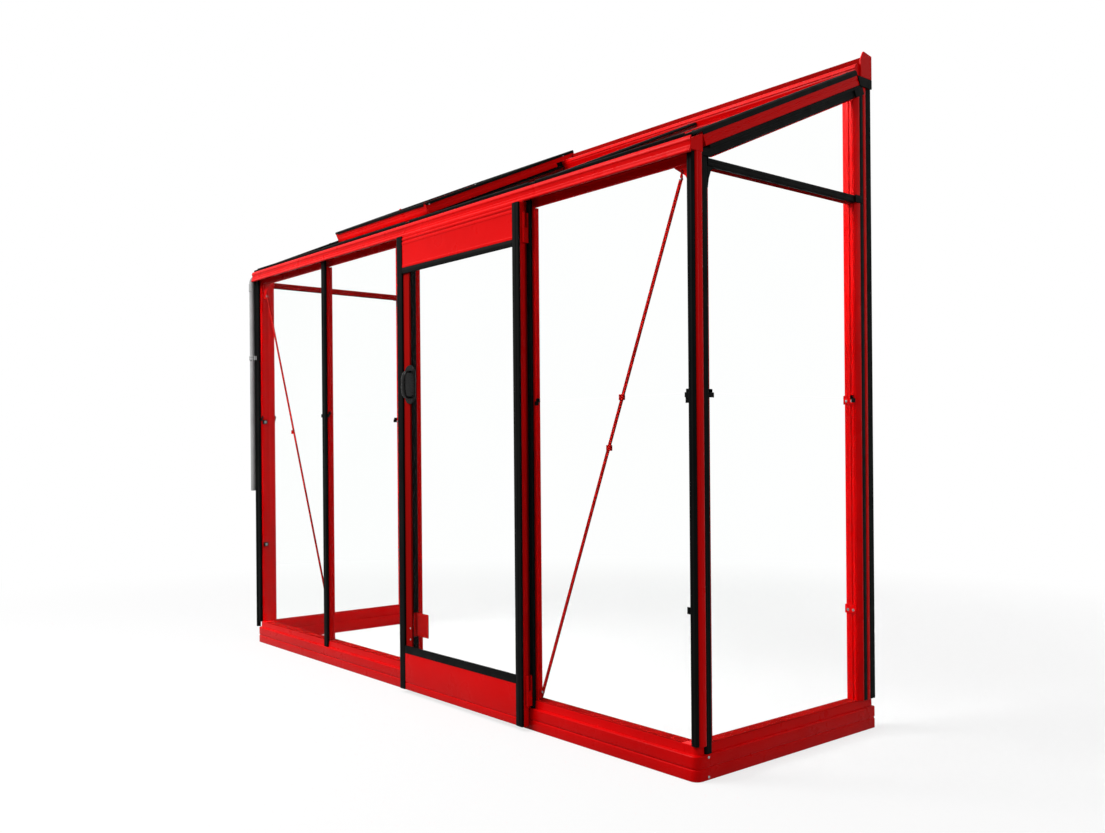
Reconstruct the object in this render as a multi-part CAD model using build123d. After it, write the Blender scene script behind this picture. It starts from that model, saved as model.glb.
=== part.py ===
from build123d import *
import math
import os

os.makedirs("parts", exist_ok=True)

# Overall size of the lean-to greenhouse, in millimetres
base_length = 2570
base_depth = 781
wall_gap = 5
base_height = 67
base_edge_height = 64
base_edge_inset = 3
base_top = 88
base_slope_end = 10
base_width = 50
base_groove_low = 29
base_groove_high = 33
base_groove_depth = 2
corner_chamfer = 22

# Heights of the eave and pitch of the roof
gutter_under = 1580
header_drop = 23
roof_glass_rise = 35
roof_pitch_deg = 23.9
quarter_turn_deg = 90

# Glazing: cap strips outside, glass behind them, bars behind the glass
cap_face = 3
cap_thick = 9
glass_thick = 4
glass_front = cap_face + cap_thick
glass_back = glass_front + glass_thick
pane_joint_low = 974
pane_joint_high = 978
pane_edge = 8

# End walls, measured inward from the end of the base
end_cap_face = 2
end_glass_face = end_cap_face + cap_thick
end_glass_inner = end_glass_face + glass_thick

# Corner post section, at the left front corner
post_outer = -4
post_nose = 12
post_inner = 30
post_shoulder = 38
post_back = 76
post_round = 9
corner_cap_left = 2
corner_cap_right = 24
corner_end_cap_back = 62
end_pane_front = 42
front_pane_edge = 14

# Bars between panes
mullion_share = 0.24086
jamb_left_share = 0.47938
jamb_right_share = 0.74358
roof_bar_middle_share = 0.48444
roof_bar_right_share = 0.75253
bar_nose_half = 6
bar_flange_half = 17
bar_flange_thick = 3
bar_web_half = 5
bar_web_back = 36
bar_bulb_half = 9
bar_back = 42
mullion_cap_half = 16
jamb_cap_half = 10
jamb_web_back = 42
jamb_left_side = 7
jamb_face = 2
jamb_box_near = 14
jamb_box_far = 45
jamb_box_back = 32

# Posts against the wall, at the left end
wall_post_outer = 0
wall_post_inner = 48
wall_post_front_back = 70
wall_post_rear_back = 21
wall_post_rib_front = 17
wall_post_rib_rear = 37
wall_post_rib_depth = 4
wall_seal_inner = 26

# Gutter along the eave
gutter_left = -5
gutter_end_thick = 6
gutter_front = -12
gutter_nose = -9
gutter_lip_in = -6
gutter_lip_top_rise = 35
gutter_lip_edge_rise = 31
gutter_bead_high_rise = 17
gutter_bead_low_rise = 12
gutter_bead_in = -10
gutter_lower_rise = 4
gutter_floor_rise = 8
gutter_wall_front = 30
gutter_wall_back = 36
header_front = 27
header_back = 31

# Downpipe at the left end of the gutter
pipe_at_x = -22
pipe_at_y = -4
pipe_radius = 11
pipe_drop = 920
pipe_rise = 17
spout_radius = 8
clip_radius = 14
clip_drop = 348
clip_tall = 18
clip_arm_left = -13

# Roof bars and end rafters, across the slope and square to the glass
rafter_outer = -2
rafter_nose = 14
rafter_inner = 26
rafter_depth = 36
rafter_cap_left = -4
rafter_cap_right = 26
roof_bar_start = 37
roof_bar_short = 69
roof_flange_deep = 7
roof_web_deep = 34
roof_bulb_deep = 38
roof_bulb_half = 8
roof_cap_half = 15
roof_cap_start = 0
roof_pane_start = 6
rafter_pane_edge = 20
gable_strip = 30
rafter_leg_start = 75
rafter_leg_end = 742
rafter_leg_deep = 75

# Ridge against the wall
ridge_left = -5
ridge_end_thick = 6
ridge_end_up = 28
ridge_front_back = 68
ridge_over_roof = 24
ridge_end_front_back = 51
ridge_end_front_rise = 36
ridge_top_back = 36
ridge_top_rise = 56
ridge_back_rise = 31

# Level ties of the end walls
tie_drop = 29
tie_tall = 22
tie_back = 35
tie_nose_up = 7
tie_nose_tall = 8

# Braces and gussets of the front wall
brace_width = 11
brace_front = 27
brace_back = 31
brace_inset = 58
brace_left_drop = 61
brace_left_low_z = 172
brace_right_drop = 43
brace_right_low_z = 100
gusset_back = 34
gusset_leg = 60
gusset_low_drop = 93
gusset_high_drop = 4

# Roof vent lid over the second bay
vent_over_left = 7
vent_over_right = 17
vent_start = 93
vent_over_ridge = 68
vent_rail = 28
vent_low = 28
vent_high = 45
vent_cap_high = 51
vent_cap_width = 14
bar_joint = 0.4
vent_glass_low = 34
vent_curb_inset = 8
vent_curb_wide = 12
vent_sill_end = 123

# Door leaf, hung on the right jamb
door_over_left = 6
door_short_right = 3
door_low = 12
door_drop = 10
door_front = -32
door_strip_back = -24
door_inner = -6
door_strip = 32
door_stile_latch = 68
door_stile_hinge = 36
door_panel_front = -29
door_panel_tall = 109
door_panel_strip_tall = 14
door_kick_high = 137
door_kick_strip_high = 163
door_strip_front = -31
door_rail_back = -8
door_top_rail_tall = 52
door_low_rail_high = 62
door_glass_front = -22
door_glass_back = -18

# Handle on the left stile of the door
handle_inset = 74
handle_z = 1058
handle_wide = 64
handle_tall = 132
handle_plate_front = -30
handle_grip_front = -58
handle_grip_wide = 22
handle_grip_tall = 96
handle_grip_thick = 8
handle_foot_tall = 18

# Inner latch plate near the foot of the door
latch_inset = 16
latch_wide = 126
latch_low = 198
latch_high = 278
latch_back = -3

# Door hinges
hinge_out = 5
hinge_y = -14
hinge_radius = 4.5
pin_radius = 2.8
pin_play = 0.06
hinge_half = 45
hinge_drop = 76
hinge_low = 118
hinge_split = 0.5
hinge_plate_wide = 28
hinge_plate_front = -1
hinge_arm_half = 2.5
hinge_lug_front = -19
hinge_lug_back = -9
hinge_lug_wide = 3

# Threshold under the door
threshold_height = 40
threshold_front = 10

# Derived values
pitch = math.radians(roof_pitch_deg)
slope_sin = math.sin(pitch)
slope_cos = math.cos(pitch)
slope_tan = math.tan(pitch)
middle_x = base_length / 2
header_bottom = gutter_under - header_drop
roof_glass_level = gutter_under + roof_glass_rise
gutter_lip_top = gutter_under + gutter_lip_top_rise
gutter_lip_edge = gutter_under + gutter_lip_edge_rise
gutter_bead_high = gutter_under + gutter_bead_high_rise
gutter_bead_low = gutter_under + gutter_bead_low_rise
gutter_lower = gutter_under + gutter_lower_rise
gutter_floor = gutter_under + gutter_floor_rise
pipe_low = gutter_under - pipe_drop
pipe_high = gutter_under + pipe_rise
clip_low = gutter_under - clip_drop
clip_high = clip_low + clip_tall
tie_low = gutter_under - tie_drop
tie_high = tie_low + tie_tall
tie_nose_low = tie_low + tie_nose_up
tie_nose_high = tie_nose_low + tie_nose_tall
brace_left_top_z = gutter_under - brace_left_drop
brace_right_top_z = gutter_under - brace_right_drop
gusset_low = gutter_under - gusset_low_drop
gusset_high = gutter_under - gusset_high_drop
door_top = gutter_under - door_drop
door_panel_low = door_top - door_panel_tall
door_panel_strip_low = door_panel_low - door_panel_strip_tall
door_top_rail_low = door_top - door_top_rail_tall
hinge_high = door_top - hinge_drop
wall_plane = base_depth + wall_gap
wall_post_front = base_depth - wall_post_front_back
wall_post_back = base_depth - wall_post_rear_back
wall_post_rib_low = wall_post_front + wall_post_rib_front
wall_post_rib_high = wall_post_front + wall_post_rib_rear
roof_bar_end = base_depth - roof_bar_short
ridge_front = base_depth - ridge_front_back
ridge_end_front = base_depth - ridge_end_front_back
ridge_top_front = base_depth - ridge_top_back
mullion_at = base_length * mullion_share
jamb_left_at = base_length * jamb_left_share
jamb_right_at = base_length * jamb_right_share
roof_bar_middle = base_length * roof_bar_middle_share
roof_bar_right = base_length * roof_bar_right_share
brace_right_top_x = base_length - brace_inset
vent_left = mullion_at - vent_over_left
vent_right = roof_bar_middle + vent_over_right
vent_end = roof_bar_end / slope_cos + vent_over_ridge
door_left = jamb_left_at - door_over_left
door_right = jamb_right_at - door_short_right
handle_x = door_left + handle_inset
latch_left = door_left + latch_inset
latch_right = latch_left + latch_wide
hinge_x = door_right + hinge_out
hinge_arm_left = hinge_x - hinge_arm_half
hinge_arm_right = hinge_x + hinge_arm_half
hinge_plate_left = hinge_x - hinge_plate_wide
hinge_lug_right = door_right + hinge_lug_wide
right_edge = base_length - gutter_left
left_edge = pipe_at_x - clip_radius
shift = Location((-(right_edge + left_edge) / 2, -(wall_plane + handle_grip_front) / 2, 0))
roof = Plane(
    origin=(0, 0, roof_glass_level),
    x_dir=(1, 0, 0),
    z_dir=(0, -slope_sin, slope_cos),
)


def block(x0, x1, y0, y1, z0, z1):
    """A box from two corners."""
    solid = Box(x1 - x0, y1 - y0, z1 - z0, align=(Align.MIN, Align.MIN, Align.MIN))
    return Pos(x0, y0, z0) * solid


def along_x(points, x0, x1):
    """A section of (y, z) points carried along the length."""
    face = make_face(Polyline(*points, close=True))
    return extrude(Plane.YZ.offset(x0) * face, x1 - x0)


def upright(points, z0, z1):
    """A section of (x, y) points carried upward."""
    face = make_face(Polyline(*points, close=True))
    return extrude(Pos(0, 0, z0) * face, z1 - z0)


def wall_sheet(points, y0, y1):
    """An outline of (x, z) points given a thickness in depth."""
    face = make_face(Polyline(*points, close=True))
    return extrude(Plane.XZ.offset(-y1) * face, y1 - y0)


def on_roof(x0, x1, s0, s1, n0, n1):
    """A box laid on the slope: s runs up the roof, n stands off the glass."""
    return roof * block(x0, x1, s0, s1, n0, n1)


def up_roof(points, s0, s1):
    """A section of (x, n) points carried up the slope."""
    face = make_face(Polyline(*points, close=True))
    bar = extrude(Plane.XZ * face, -(s1 - s0))
    return roof * (Pos(0, s0, 0) * bar)


def roof_z(y, n=0):
    """Height of a plane parallel to the roof glass at depth y."""
    return roof_glass_level + y * slope_tan + n / slope_cos


ridge_front_level = roof_z(ridge_front, ridge_over_roof)
ridge_wall_level = roof_z(wall_plane, ridge_over_roof)
ridge_end_front_level = roof_z(ridge_end_front) + ridge_end_front_rise
ridge_top_level = roof_z(ridge_top_front) + ridge_top_rise
ridge_back_level = roof_z(wall_plane) + ridge_back_rise


def other_end(solid):
    """The same piece at the other end."""
    return mirror(solid, about=Plane.YZ.offset(middle_x))


def save(name, solids):
    """Writes one node."""
    whole = solids[0] if len(solids) == 1 else Compound(children=solids)
    export_step(whole.moved(shift), os.path.join("parts", name + ".step"))


# Base rails with a sloping ledge and a groove in the face
base_section = [
    (0, 0),
    (0, base_groove_low),
    (base_groove_depth, base_groove_low),
    (base_groove_depth, base_groove_high),
    (0, base_groove_high),
    (0, base_edge_height),
    (base_edge_inset, base_height),
    (base_slope_end, base_top),
    (base_width, base_top),
    (base_width, 0),
]
jamb_left_end = jamb_left_at + jamb_box_far
jamb_right_end = jamb_right_at - jamb_box_far
save("base_front_left", [along_x(base_section, base_width, jamb_left_end)])
save("base_front_right", [along_x(base_section, jamb_right_end, base_length - base_width)])
save("door_threshold", [
    block(jamb_left_end, jamb_right_end, threshold_front, base_width, 0, threshold_height)
])

end_face = Plane.XZ * make_face(Polyline(*base_section, close=True))
end_rail = extrude(end_face, -base_depth) & block(
    0, base_width, base_width, base_depth, 0, base_top
)
save("base_ends", [end_rail, other_end(end_rail)])

corner_key = along_x(base_section, 0, base_width) & extrude(end_face, -base_width)
corner_key = corner_key - upright(
    [(0, 0), (corner_chamfer, 0), (0, corner_chamfer)], 0, base_top
)
save("base_corners", [corner_key, other_end(corner_key)])

# Corner posts with a rounded outer face
post_section = [
    (post_outer, glass_front),
    (post_nose, glass_front),
    (post_nose, glass_back),
    (post_inner, glass_back),
    (post_inner, post_back),
    (end_glass_inner, post_back),
    (end_glass_inner, post_shoulder),
    (post_outer, post_shoulder),
]
corner_post = upright(post_section, base_top, gutter_under)
outer_edges = corner_post.edges().filter_by(Axis.Z).group_by(Axis.X)[0]
corner_post = fillet(outer_edges, post_round)
save("corner_posts", [corner_post, other_end(corner_post)])

# Bar between the two left panes
mullion_section = [
    (mullion_at - bar_nose_half, glass_front),
    (mullion_at + bar_nose_half, glass_front),
    (mullion_at + bar_nose_half, glass_back),
    (mullion_at + bar_flange_half, glass_back),
    (mullion_at + bar_flange_half, glass_back + bar_flange_thick),
    (mullion_at + bar_web_half, glass_back + bar_flange_thick),
    (mullion_at + bar_web_half, bar_web_back),
    (mullion_at + bar_bulb_half, bar_web_back),
    (mullion_at + bar_bulb_half, bar_back),
    (mullion_at - bar_bulb_half, bar_back),
    (mullion_at - bar_bulb_half, bar_web_back),
    (mullion_at - bar_web_half, bar_web_back),
    (mullion_at - bar_web_half, glass_back + bar_flange_thick),
    (mullion_at - bar_flange_half, glass_back + bar_flange_thick),
    (mullion_at - bar_flange_half, glass_back),
    (mullion_at - bar_nose_half, glass_back),
]
save("mullion_left", [upright(mullion_section, base_top, header_bottom)])

# Door jambs: a glazing bar joined to a box beside the opening
jamb_section = [
    (jamb_right_at - jamb_box_far, jamb_face),
    (jamb_right_at - jamb_box_near, jamb_face),
    (jamb_right_at - jamb_box_near, glass_front),
    (jamb_right_at + bar_nose_half, glass_front),
    (jamb_right_at + bar_nose_half, glass_back),
    (jamb_right_at + bar_flange_half, glass_back),
    (jamb_right_at + bar_flange_half, glass_back + bar_flange_thick),
    (jamb_right_at + bar_web_half, glass_back + bar_flange_thick),
    (jamb_right_at + bar_web_half, jamb_web_back),
    (jamb_right_at - jamb_left_side, jamb_web_back),
    (jamb_right_at - jamb_left_side, jamb_box_back),
    (jamb_right_at - jamb_box_far, jamb_box_back),
]
jamb_right = upright(jamb_section, base_top, header_bottom)
jamb_middle = (jamb_left_at + jamb_right_at) / 2
jamb_left = mirror(jamb_right, about=Plane.YZ.offset(jamb_middle))
save("door_jamb_left", [jamb_left])
save("door_jamb_right", [jamb_right])

# Ridge section, square to the slope where the bars end
bar_start = roof_bar_start / slope_cos
bar_end = roof_bar_end / slope_cos
bar_end_y = roof_bar_end - cap_thick * slope_sin
bar_end_z = roof_z(roof_bar_end) + cap_thick * slope_cos
foot_y = roof_bar_end + roof_bulb_deep * slope_sin
foot_z = roof_z(roof_bar_end) - roof_bulb_deep * slope_cos
ridge_section = [
    (foot_y, foot_z),
    (bar_end_y, bar_end_z),
    (ridge_front, ridge_front_level),
    (wall_plane, ridge_wall_level),
    (wall_plane, foot_z),
]
ridge_right = base_length - ridge_left
ridge = along_x(ridge_section, ridge_left + ridge_end_thick, ridge_right - ridge_end_thick)
save("ridge_bar", [ridge])
ridge_plate = along_x(ridge_section, ridge_left, ridge_left + ridge_end_thick)
ridge_end_low = foot_z + ridge_end_up
ridge_plate_left = ridge_left + ridge_end_thick
ridge_end_section = [
    (ridge_end_front, ridge_end_low),
    (ridge_end_front, ridge_end_front_level),
    (ridge_top_front, ridge_top_level),
    (wall_plane, ridge_back_level),
    (wall_plane, ridge_end_low),
]
ridge_end = along_x(ridge_end_section, ridge_left, ridge_plate_left)
save("ridge_ends", [ridge_end, other_end(ridge_end)])

# Posts and seals against the wall
post_outline = [
    (wall_post_front, base_top),
    (wall_post_back, base_top),
    (wall_post_back, foot_z),
    (foot_y, foot_z),
    (wall_post_front, roof_z(wall_post_front, -roof_bulb_deep)),
]


def wall_post(outer, inner, rib):
    """One post against the wall, with a channel down its outer face."""
    body = along_x(post_outline, min(outer, inner), max(outer, inner))
    channel = block(
        min(outer, rib),
        max(outer, rib),
        wall_post_rib_low,
        wall_post_rib_high,
        base_top,
        ridge_top_level,
    )
    return body - channel


wall_post_groove = wall_post_outer + wall_post_rib_depth
save("wall_posts", [
    wall_post(wall_post_outer, wall_post_inner, wall_post_groove),
    wall_post(
        base_length - wall_post_outer,
        base_length - wall_post_inner,
        base_length - wall_post_groove,
    ),
])
wall_seal = block(
    wall_post_outer, wall_seal_inner, wall_post_back, wall_plane, base_top, foot_z
)
ridge_pad = ridge_plate & block(
    ridge_left, ridge_plate_left, 0, wall_plane, foot_z + bar_joint, ridge_end_low
)
seals = [wall_seal, ridge_pad]
save("wall_seals", [*seals, *[other_end(seal) for seal in seals]])

# Eave gutter with its header flange
gutter_section = [
    (gutter_nose, gutter_under),
    (gutter_wall_back, gutter_under),
    (gutter_wall_back, roof_z(gutter_wall_back, -glass_thick)),
    (gutter_wall_front, roof_z(gutter_wall_front, -glass_thick)),
    (gutter_wall_front, gutter_floor),
    (gutter_lip_in, gutter_floor),
    (gutter_lip_in, gutter_lip_top),
    (gutter_nose, gutter_lip_top),
    (gutter_front, gutter_lip_edge),
    (gutter_front, gutter_bead_high),
    (gutter_bead_in, gutter_bead_high),
    (gutter_bead_in, gutter_bead_low),
    (gutter_front, gutter_bead_low),
    (gutter_front, gutter_lower),
]
gutter_from = gutter_left + gutter_end_thick
gutter_to = base_length - gutter_from
gutter = along_x(gutter_section, gutter_from, gutter_to)
header = block(
    post_inner, base_length - post_inner, header_front, header_back, header_bottom, gutter_under
)
save("eave_gutter", [gutter + header])
gutter_end_section = [
    (gutter_front, gutter_lower),
    (gutter_nose, gutter_under),
    (gutter_wall_back, gutter_under),
    (gutter_wall_back, roof_z(gutter_wall_back, -glass_thick)),
    (gutter_lip_in, roof_z(gutter_lip_in, -glass_thick)),
    (gutter_lip_in, gutter_lip_top),
    (gutter_nose, gutter_lip_top),
    (gutter_front, gutter_lip_edge),
]
gutter_end = along_x(gutter_end_section, gutter_left, gutter_from)
save("gutter_ends", [gutter_end, other_end(gutter_end)])

# Downpipe with its spout and clip
pipe = Pos(pipe_at_x, pipe_at_y, pipe_low) * Cylinder(
    pipe_radius, pipe_high - pipe_low, align=(Align.CENTER, Align.CENTER, Align.MIN)
)
spout_length = gutter_left - pipe_at_x
spout = Pos(pipe_at_x, pipe_at_y, pipe_high - spout_radius) * (
    Rot(0, quarter_turn_deg, 0)
    * Cylinder(spout_radius, spout_length, align=(Align.CENTER, Align.CENTER, Align.MIN))
)
clip = Pos(pipe_at_x, pipe_at_y, clip_low) * Cylinder(
    clip_radius, clip_high - clip_low, align=(Align.CENTER, Align.CENTER, Align.MIN)
)
clip_arm = block(
    clip_arm_left, corner_cap_left, pipe_at_y, glass_front, clip_low, clip_high
)
save("downpipe", [pipe + spout + clip + clip_arm])

# End rafters and roof bars
rafter_section = [
    (rafter_outer, 0),
    (rafter_nose, 0),
    (rafter_nose, -glass_thick),
    (rafter_inner, -glass_thick),
    (rafter_inner, -rafter_depth),
    (rafter_outer, -rafter_depth),
]
rafter_leg = on_roof(
    end_glass_inner,
    rafter_inner,
    rafter_leg_start,
    rafter_leg_end,
    -rafter_leg_deep,
    -rafter_depth,
)
rafter = up_roof(rafter_section, bar_start, bar_end) + rafter_leg
save("end_rafters", [rafter, other_end(rafter)])


def roof_bar(at):
    """One glazing bar of the roof."""
    return up_roof(
        [
            (at - bar_nose_half, 0),
            (at + bar_nose_half, 0),
            (at + bar_nose_half, -glass_thick),
            (at + bar_flange_half, -glass_thick),
            (at + bar_flange_half, -roof_flange_deep),
            (at + bar_web_half, -roof_flange_deep),
            (at + bar_web_half, -roof_web_deep),
            (at + roof_bulb_half, -roof_web_deep),
            (at + roof_bulb_half, -roof_bulb_deep),
            (at - roof_bulb_half, -roof_bulb_deep),
            (at - roof_bulb_half, -roof_web_deep),
            (at - bar_web_half, -roof_web_deep),
            (at - bar_web_half, -roof_flange_deep),
            (at - bar_flange_half, -roof_flange_deep),
            (at - bar_flange_half, -glass_thick),
            (at - bar_nose_half, -glass_thick),
        ],
        bar_start,
        bar_end,
    )


bars_at = (mullion_at, roof_bar_middle, roof_bar_right)
save("roof_bars", [roof_bar(at) for at in bars_at])

# Level ties between corner post and wall post
tie_section = [
    (end_glass_face, tie_nose_low),
    (end_glass_inner, tie_nose_low),
    (end_glass_inner, tie_low),
    (tie_back, tie_low),
    (tie_back, tie_high),
    (end_glass_inner, tie_high),
    (end_glass_inner, tie_nose_high),
    (end_glass_face, tie_nose_high),
]
tie_face = Plane.XZ.offset(-post_back) * make_face(Polyline(*tie_section, close=True))
tie = extrude(tie_face, -(wall_post_front - post_back))
save("end_ties", [tie, other_end(tie)])


# Diagonal braces of the front wall
def brace(x0, z0, x1, z1):
    """A flat bar between two uprights, cut plumb at both ends."""
    rise = (z1 - z0) / (x1 - x0)
    half = brace_width * math.sqrt(1 + rise * rise) / 2
    outline = [(x0, z0 - half), (x0, z0 + half), (x1, z1 + half), (x1, z1 - half)]
    return wall_sheet(outline, brace_front, brace_back)


save("front_braces", [
    brace(
        brace_inset, brace_left_top_z, mullion_at - bar_web_half, brace_left_low_z
    ),
    brace(
        jamb_right_at + bar_web_half, brace_right_low_z, brace_right_top_x, brace_right_top_z
    ),
])
gusset = wall_sheet(
    [
        (post_inner, gusset_low),
        (post_inner, gusset_high),
        (post_inner + gusset_leg, gusset_high),
        (post_inner + gusset_leg, header_bottom),
    ],
    header_back,
    gusset_back,
)
save("eave_gussets", [gusset, other_end(gusset)])

# Cap strips of the front wall
corner_cap = block(
    corner_cap_left, corner_cap_right, cap_face, glass_front, base_top, gutter_under
)
front_caps = [corner_cap, other_end(corner_cap)]
for at, half in (
    (mullion_at, mullion_cap_half),
    (jamb_left_at, jamb_cap_half),
    (jamb_right_at, jamb_cap_half),
):
    front_caps.append(
        block(at - half, at + half, cap_face, glass_front, base_top, gutter_under)
    )
save("front_cap_strips", front_caps)

# Cap strips of the end walls: corner, tie and gable
end_cap_corner = block(
    end_cap_face, end_glass_face, post_shoulder, corner_end_cap_back, base_top, tie_high
)
strip_start = corner_end_cap_back + bar_joint
end_cap_tie = block(
    end_cap_face, end_glass_face, strip_start, wall_post_front, tie_low, tie_high
)
gable_low = -(rafter_depth + gable_strip)
gable_strip_foot = tie_high + bar_joint
gable_strip_turn = (gable_strip_foot - roof_z(0, gable_low)) / slope_tan
end_cap_gable = along_x(
    [
        (post_shoulder, gable_strip_foot),
        (gable_strip_turn, gable_strip_foot),
        (wall_post_front, roof_z(wall_post_front, gable_low)),
        (wall_post_front, roof_z(wall_post_front, -rafter_depth)),
        (post_shoulder, roof_z(post_shoulder, -rafter_depth)),
    ],
    end_cap_face,
    end_glass_face,
)
end_caps = [end_cap_corner, end_cap_tie, end_cap_gable]
save("end_cap_strips", [*end_caps, *[other_end(cap) for cap in end_caps]])

# Cap strips of the roof
cap_start = roof_cap_start / slope_cos
rafter_cap = on_roof(
    rafter_cap_left, rafter_cap_right, cap_start, bar_end, 0, cap_thick
)
roof_caps = [rafter_cap, other_end(rafter_cap)]
for at in bars_at:
    roof_caps.append(
        on_roof(at - roof_cap_half, at + roof_cap_half, cap_start, bar_end, 0, cap_thick)
    )
save("roof_cap_strips", roof_caps)


# Panes of the front wall, two in each bay
def pane_pair(x0, x1):
    """The lower and the upper pane of one bay."""
    return [
        block(x0, x1, glass_front, glass_back, base_top, pane_joint_low),
        block(x0, x1, glass_front, glass_back, pane_joint_high, gutter_under),
    ]


save("front_pane_1", pane_pair(front_pane_edge, mullion_at - pane_edge))
save("front_pane_2", pane_pair(mullion_at + pane_edge, jamb_left_at - pane_edge))
save("front_pane_4", pane_pair(jamb_right_at + pane_edge, base_length - front_pane_edge))

# Panes of the end walls
end_low_pane = block(
    end_glass_face, end_glass_inner, end_pane_front, wall_post_front, base_top, pane_joint_low
)
end_high_pane = block(
    end_glass_face,
    end_glass_inner,
    end_pane_front,
    wall_post_front,
    pane_joint_high,
    tie_nose_low,
)
gable_pane = along_x(
    [
        (post_back, tie_nose_high),
        (wall_post_front, tie_nose_high),
        (wall_post_front, roof_z(wall_post_front, -rafter_depth)),
        (post_back, roof_z(post_back, -rafter_depth)),
    ],
    end_glass_face,
    end_glass_inner,
)
end_panes = [end_low_pane, end_high_pane, gable_pane]
save("left_end_panes", end_panes)
save("right_end_panes", [other_end(pane) for pane in end_panes])

# Panes of the roof, and the sill below the vent
pane_start = roof_pane_start / slope_cos
roof_panes = [
    on_roof(rafter_nose, mullion_at - bar_nose_half, pane_start, bar_end, -glass_thick, 0),
    on_roof(
        roof_bar_middle + bar_nose_half,
        roof_bar_right - bar_nose_half,
        pane_start,
        bar_end,
        -glass_thick,
        0,
    ),
    on_roof(
        roof_bar_right + bar_nose_half,
        base_length - rafter_nose,
        pane_start,
        bar_end,
        -glass_thick,
        0,
    ),
]
save("roof_panes", roof_panes)
curb_start = vent_start + vent_curb_inset
sill_plate = on_roof(
    mullion_at + bar_nose_half,
    roof_bar_middle - bar_nose_half,
    pane_start,
    vent_sill_end,
    -glass_thick,
    0,
)
sill_upstand = on_roof(
    mullion_at + roof_cap_half + bar_joint,
    roof_bar_middle - roof_cap_half - bar_joint,
    curb_start,
    curb_start + vent_curb_wide,
    0,
    cap_thick,
)
save("vent_sill", [sill_plate + sill_upstand])

# Roof vent: curb, frame, edge strip and glass
def vent_ring(left, right, start, end, wide, low, high):
    """Two side bars and two cross bars laid on the slope."""
    return [
        on_roof(left, left + wide, start, end, low, high),
        on_roof(right - wide, right, start, end, low, high),
        on_roof(left + wide + bar_joint, right - wide - bar_joint, start, start + wide, low, high),
        on_roof(left + wide + bar_joint, right - wide - bar_joint, end - wide, end, low, high),
    ]


save("vent_curb", vent_ring(
    vent_left + vent_curb_inset,
    vent_right - vent_curb_inset,
    curb_start,
    bar_end,
    vent_curb_wide,
    cap_thick,
    vent_low,
))
save("vent_frame", vent_ring(
    vent_left, vent_right, vent_start, vent_end, vent_rail, vent_low, vent_high
))
save("vent_edge_strip", vent_ring(
    vent_left, vent_right, vent_start, vent_end, vent_cap_width, vent_high, vent_cap_high
))
save("vent_glass", [
    on_roof(
        vent_left + vent_rail,
        vent_right - vent_rail,
        vent_start + vent_rail,
        vent_end - vent_rail,
        vent_glass_low,
        vent_glass_low + glass_thick,
    )
])

# Door leaf
strip_left = door_left + door_strip
strip_right = door_right - door_strip
stile_left = door_left + door_stile_latch
stile_right = door_right - door_stile_hinge
save("door_stiles", [
    block(door_left, stile_left, door_strip_back, door_inner, door_low, door_top),
    block(stile_right, door_right, door_strip_back, door_inner, door_low, door_top),
])
save("door_edge_strips", [
    block(door_left, strip_left, door_front, door_strip_back, door_low, door_top),
    block(strip_right, door_right, door_front, door_strip_back, door_low, door_top),
])
door_top_panel = block(
    strip_left, strip_right, door_panel_front, door_strip_back, door_panel_low, door_top
)
door_top_rail = block(
    stile_left, stile_right, door_strip_back, door_rail_back, door_top_rail_low, door_top
)
save("door_top_panel", [door_top_panel + door_top_rail])
door_kick = block(
    strip_left, strip_right, door_panel_front, door_strip_back, door_low, door_kick_high
)
door_low_rail = block(
    stile_left, stile_right, door_strip_back, door_rail_back, door_low, door_low_rail_high
)
save("door_kick_panel", [door_kick + door_low_rail])
save("door_cross_strips", [
    block(
        strip_left,
        strip_right,
        door_strip_front,
        door_strip_back,
        door_panel_strip_low,
        door_panel_low,
    ),
    block(
        strip_left,
        strip_right,
        door_strip_front,
        door_strip_back,
        door_kick_high,
        door_kick_strip_high,
    ),
])
save("door_glass", [
    block(
        stile_left,
        stile_right,
        door_glass_front,
        door_glass_back,
        door_low_rail_high,
        door_top_rail_low,
    )
])

# Door handle: an oval plate with a bridge grip
plate_face = Plane.XZ.offset(-door_strip_back) * (
    Pos(handle_x, handle_z) * Rot(0, 0, quarter_turn_deg) * SlotOverall(handle_tall, handle_wide)
)
handle_plate = extrude(plate_face, door_strip_back - handle_plate_front)
grip_top = handle_z + handle_grip_tall / 2
grip_low = handle_z - handle_grip_tall / 2
grip_left = handle_x - handle_grip_wide / 2
grip_right = handle_x + handle_grip_wide / 2
grip_back = handle_grip_front + handle_grip_thick
handle_grip = block(grip_left, grip_right, handle_grip_front, grip_back, grip_low, grip_top)
foot_high = block(
    grip_left, grip_right, grip_back, handle_plate_front, grip_top - handle_foot_tall, grip_top
)
foot_low = block(
    grip_left, grip_right, grip_back, handle_plate_front, grip_low, grip_low + handle_foot_tall
)
save("door_handle", [handle_plate + handle_grip + foot_high + foot_low])
save("door_latch_plate", [
    block(latch_left, latch_right, door_inner, latch_back, latch_low, latch_high)
])

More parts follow.
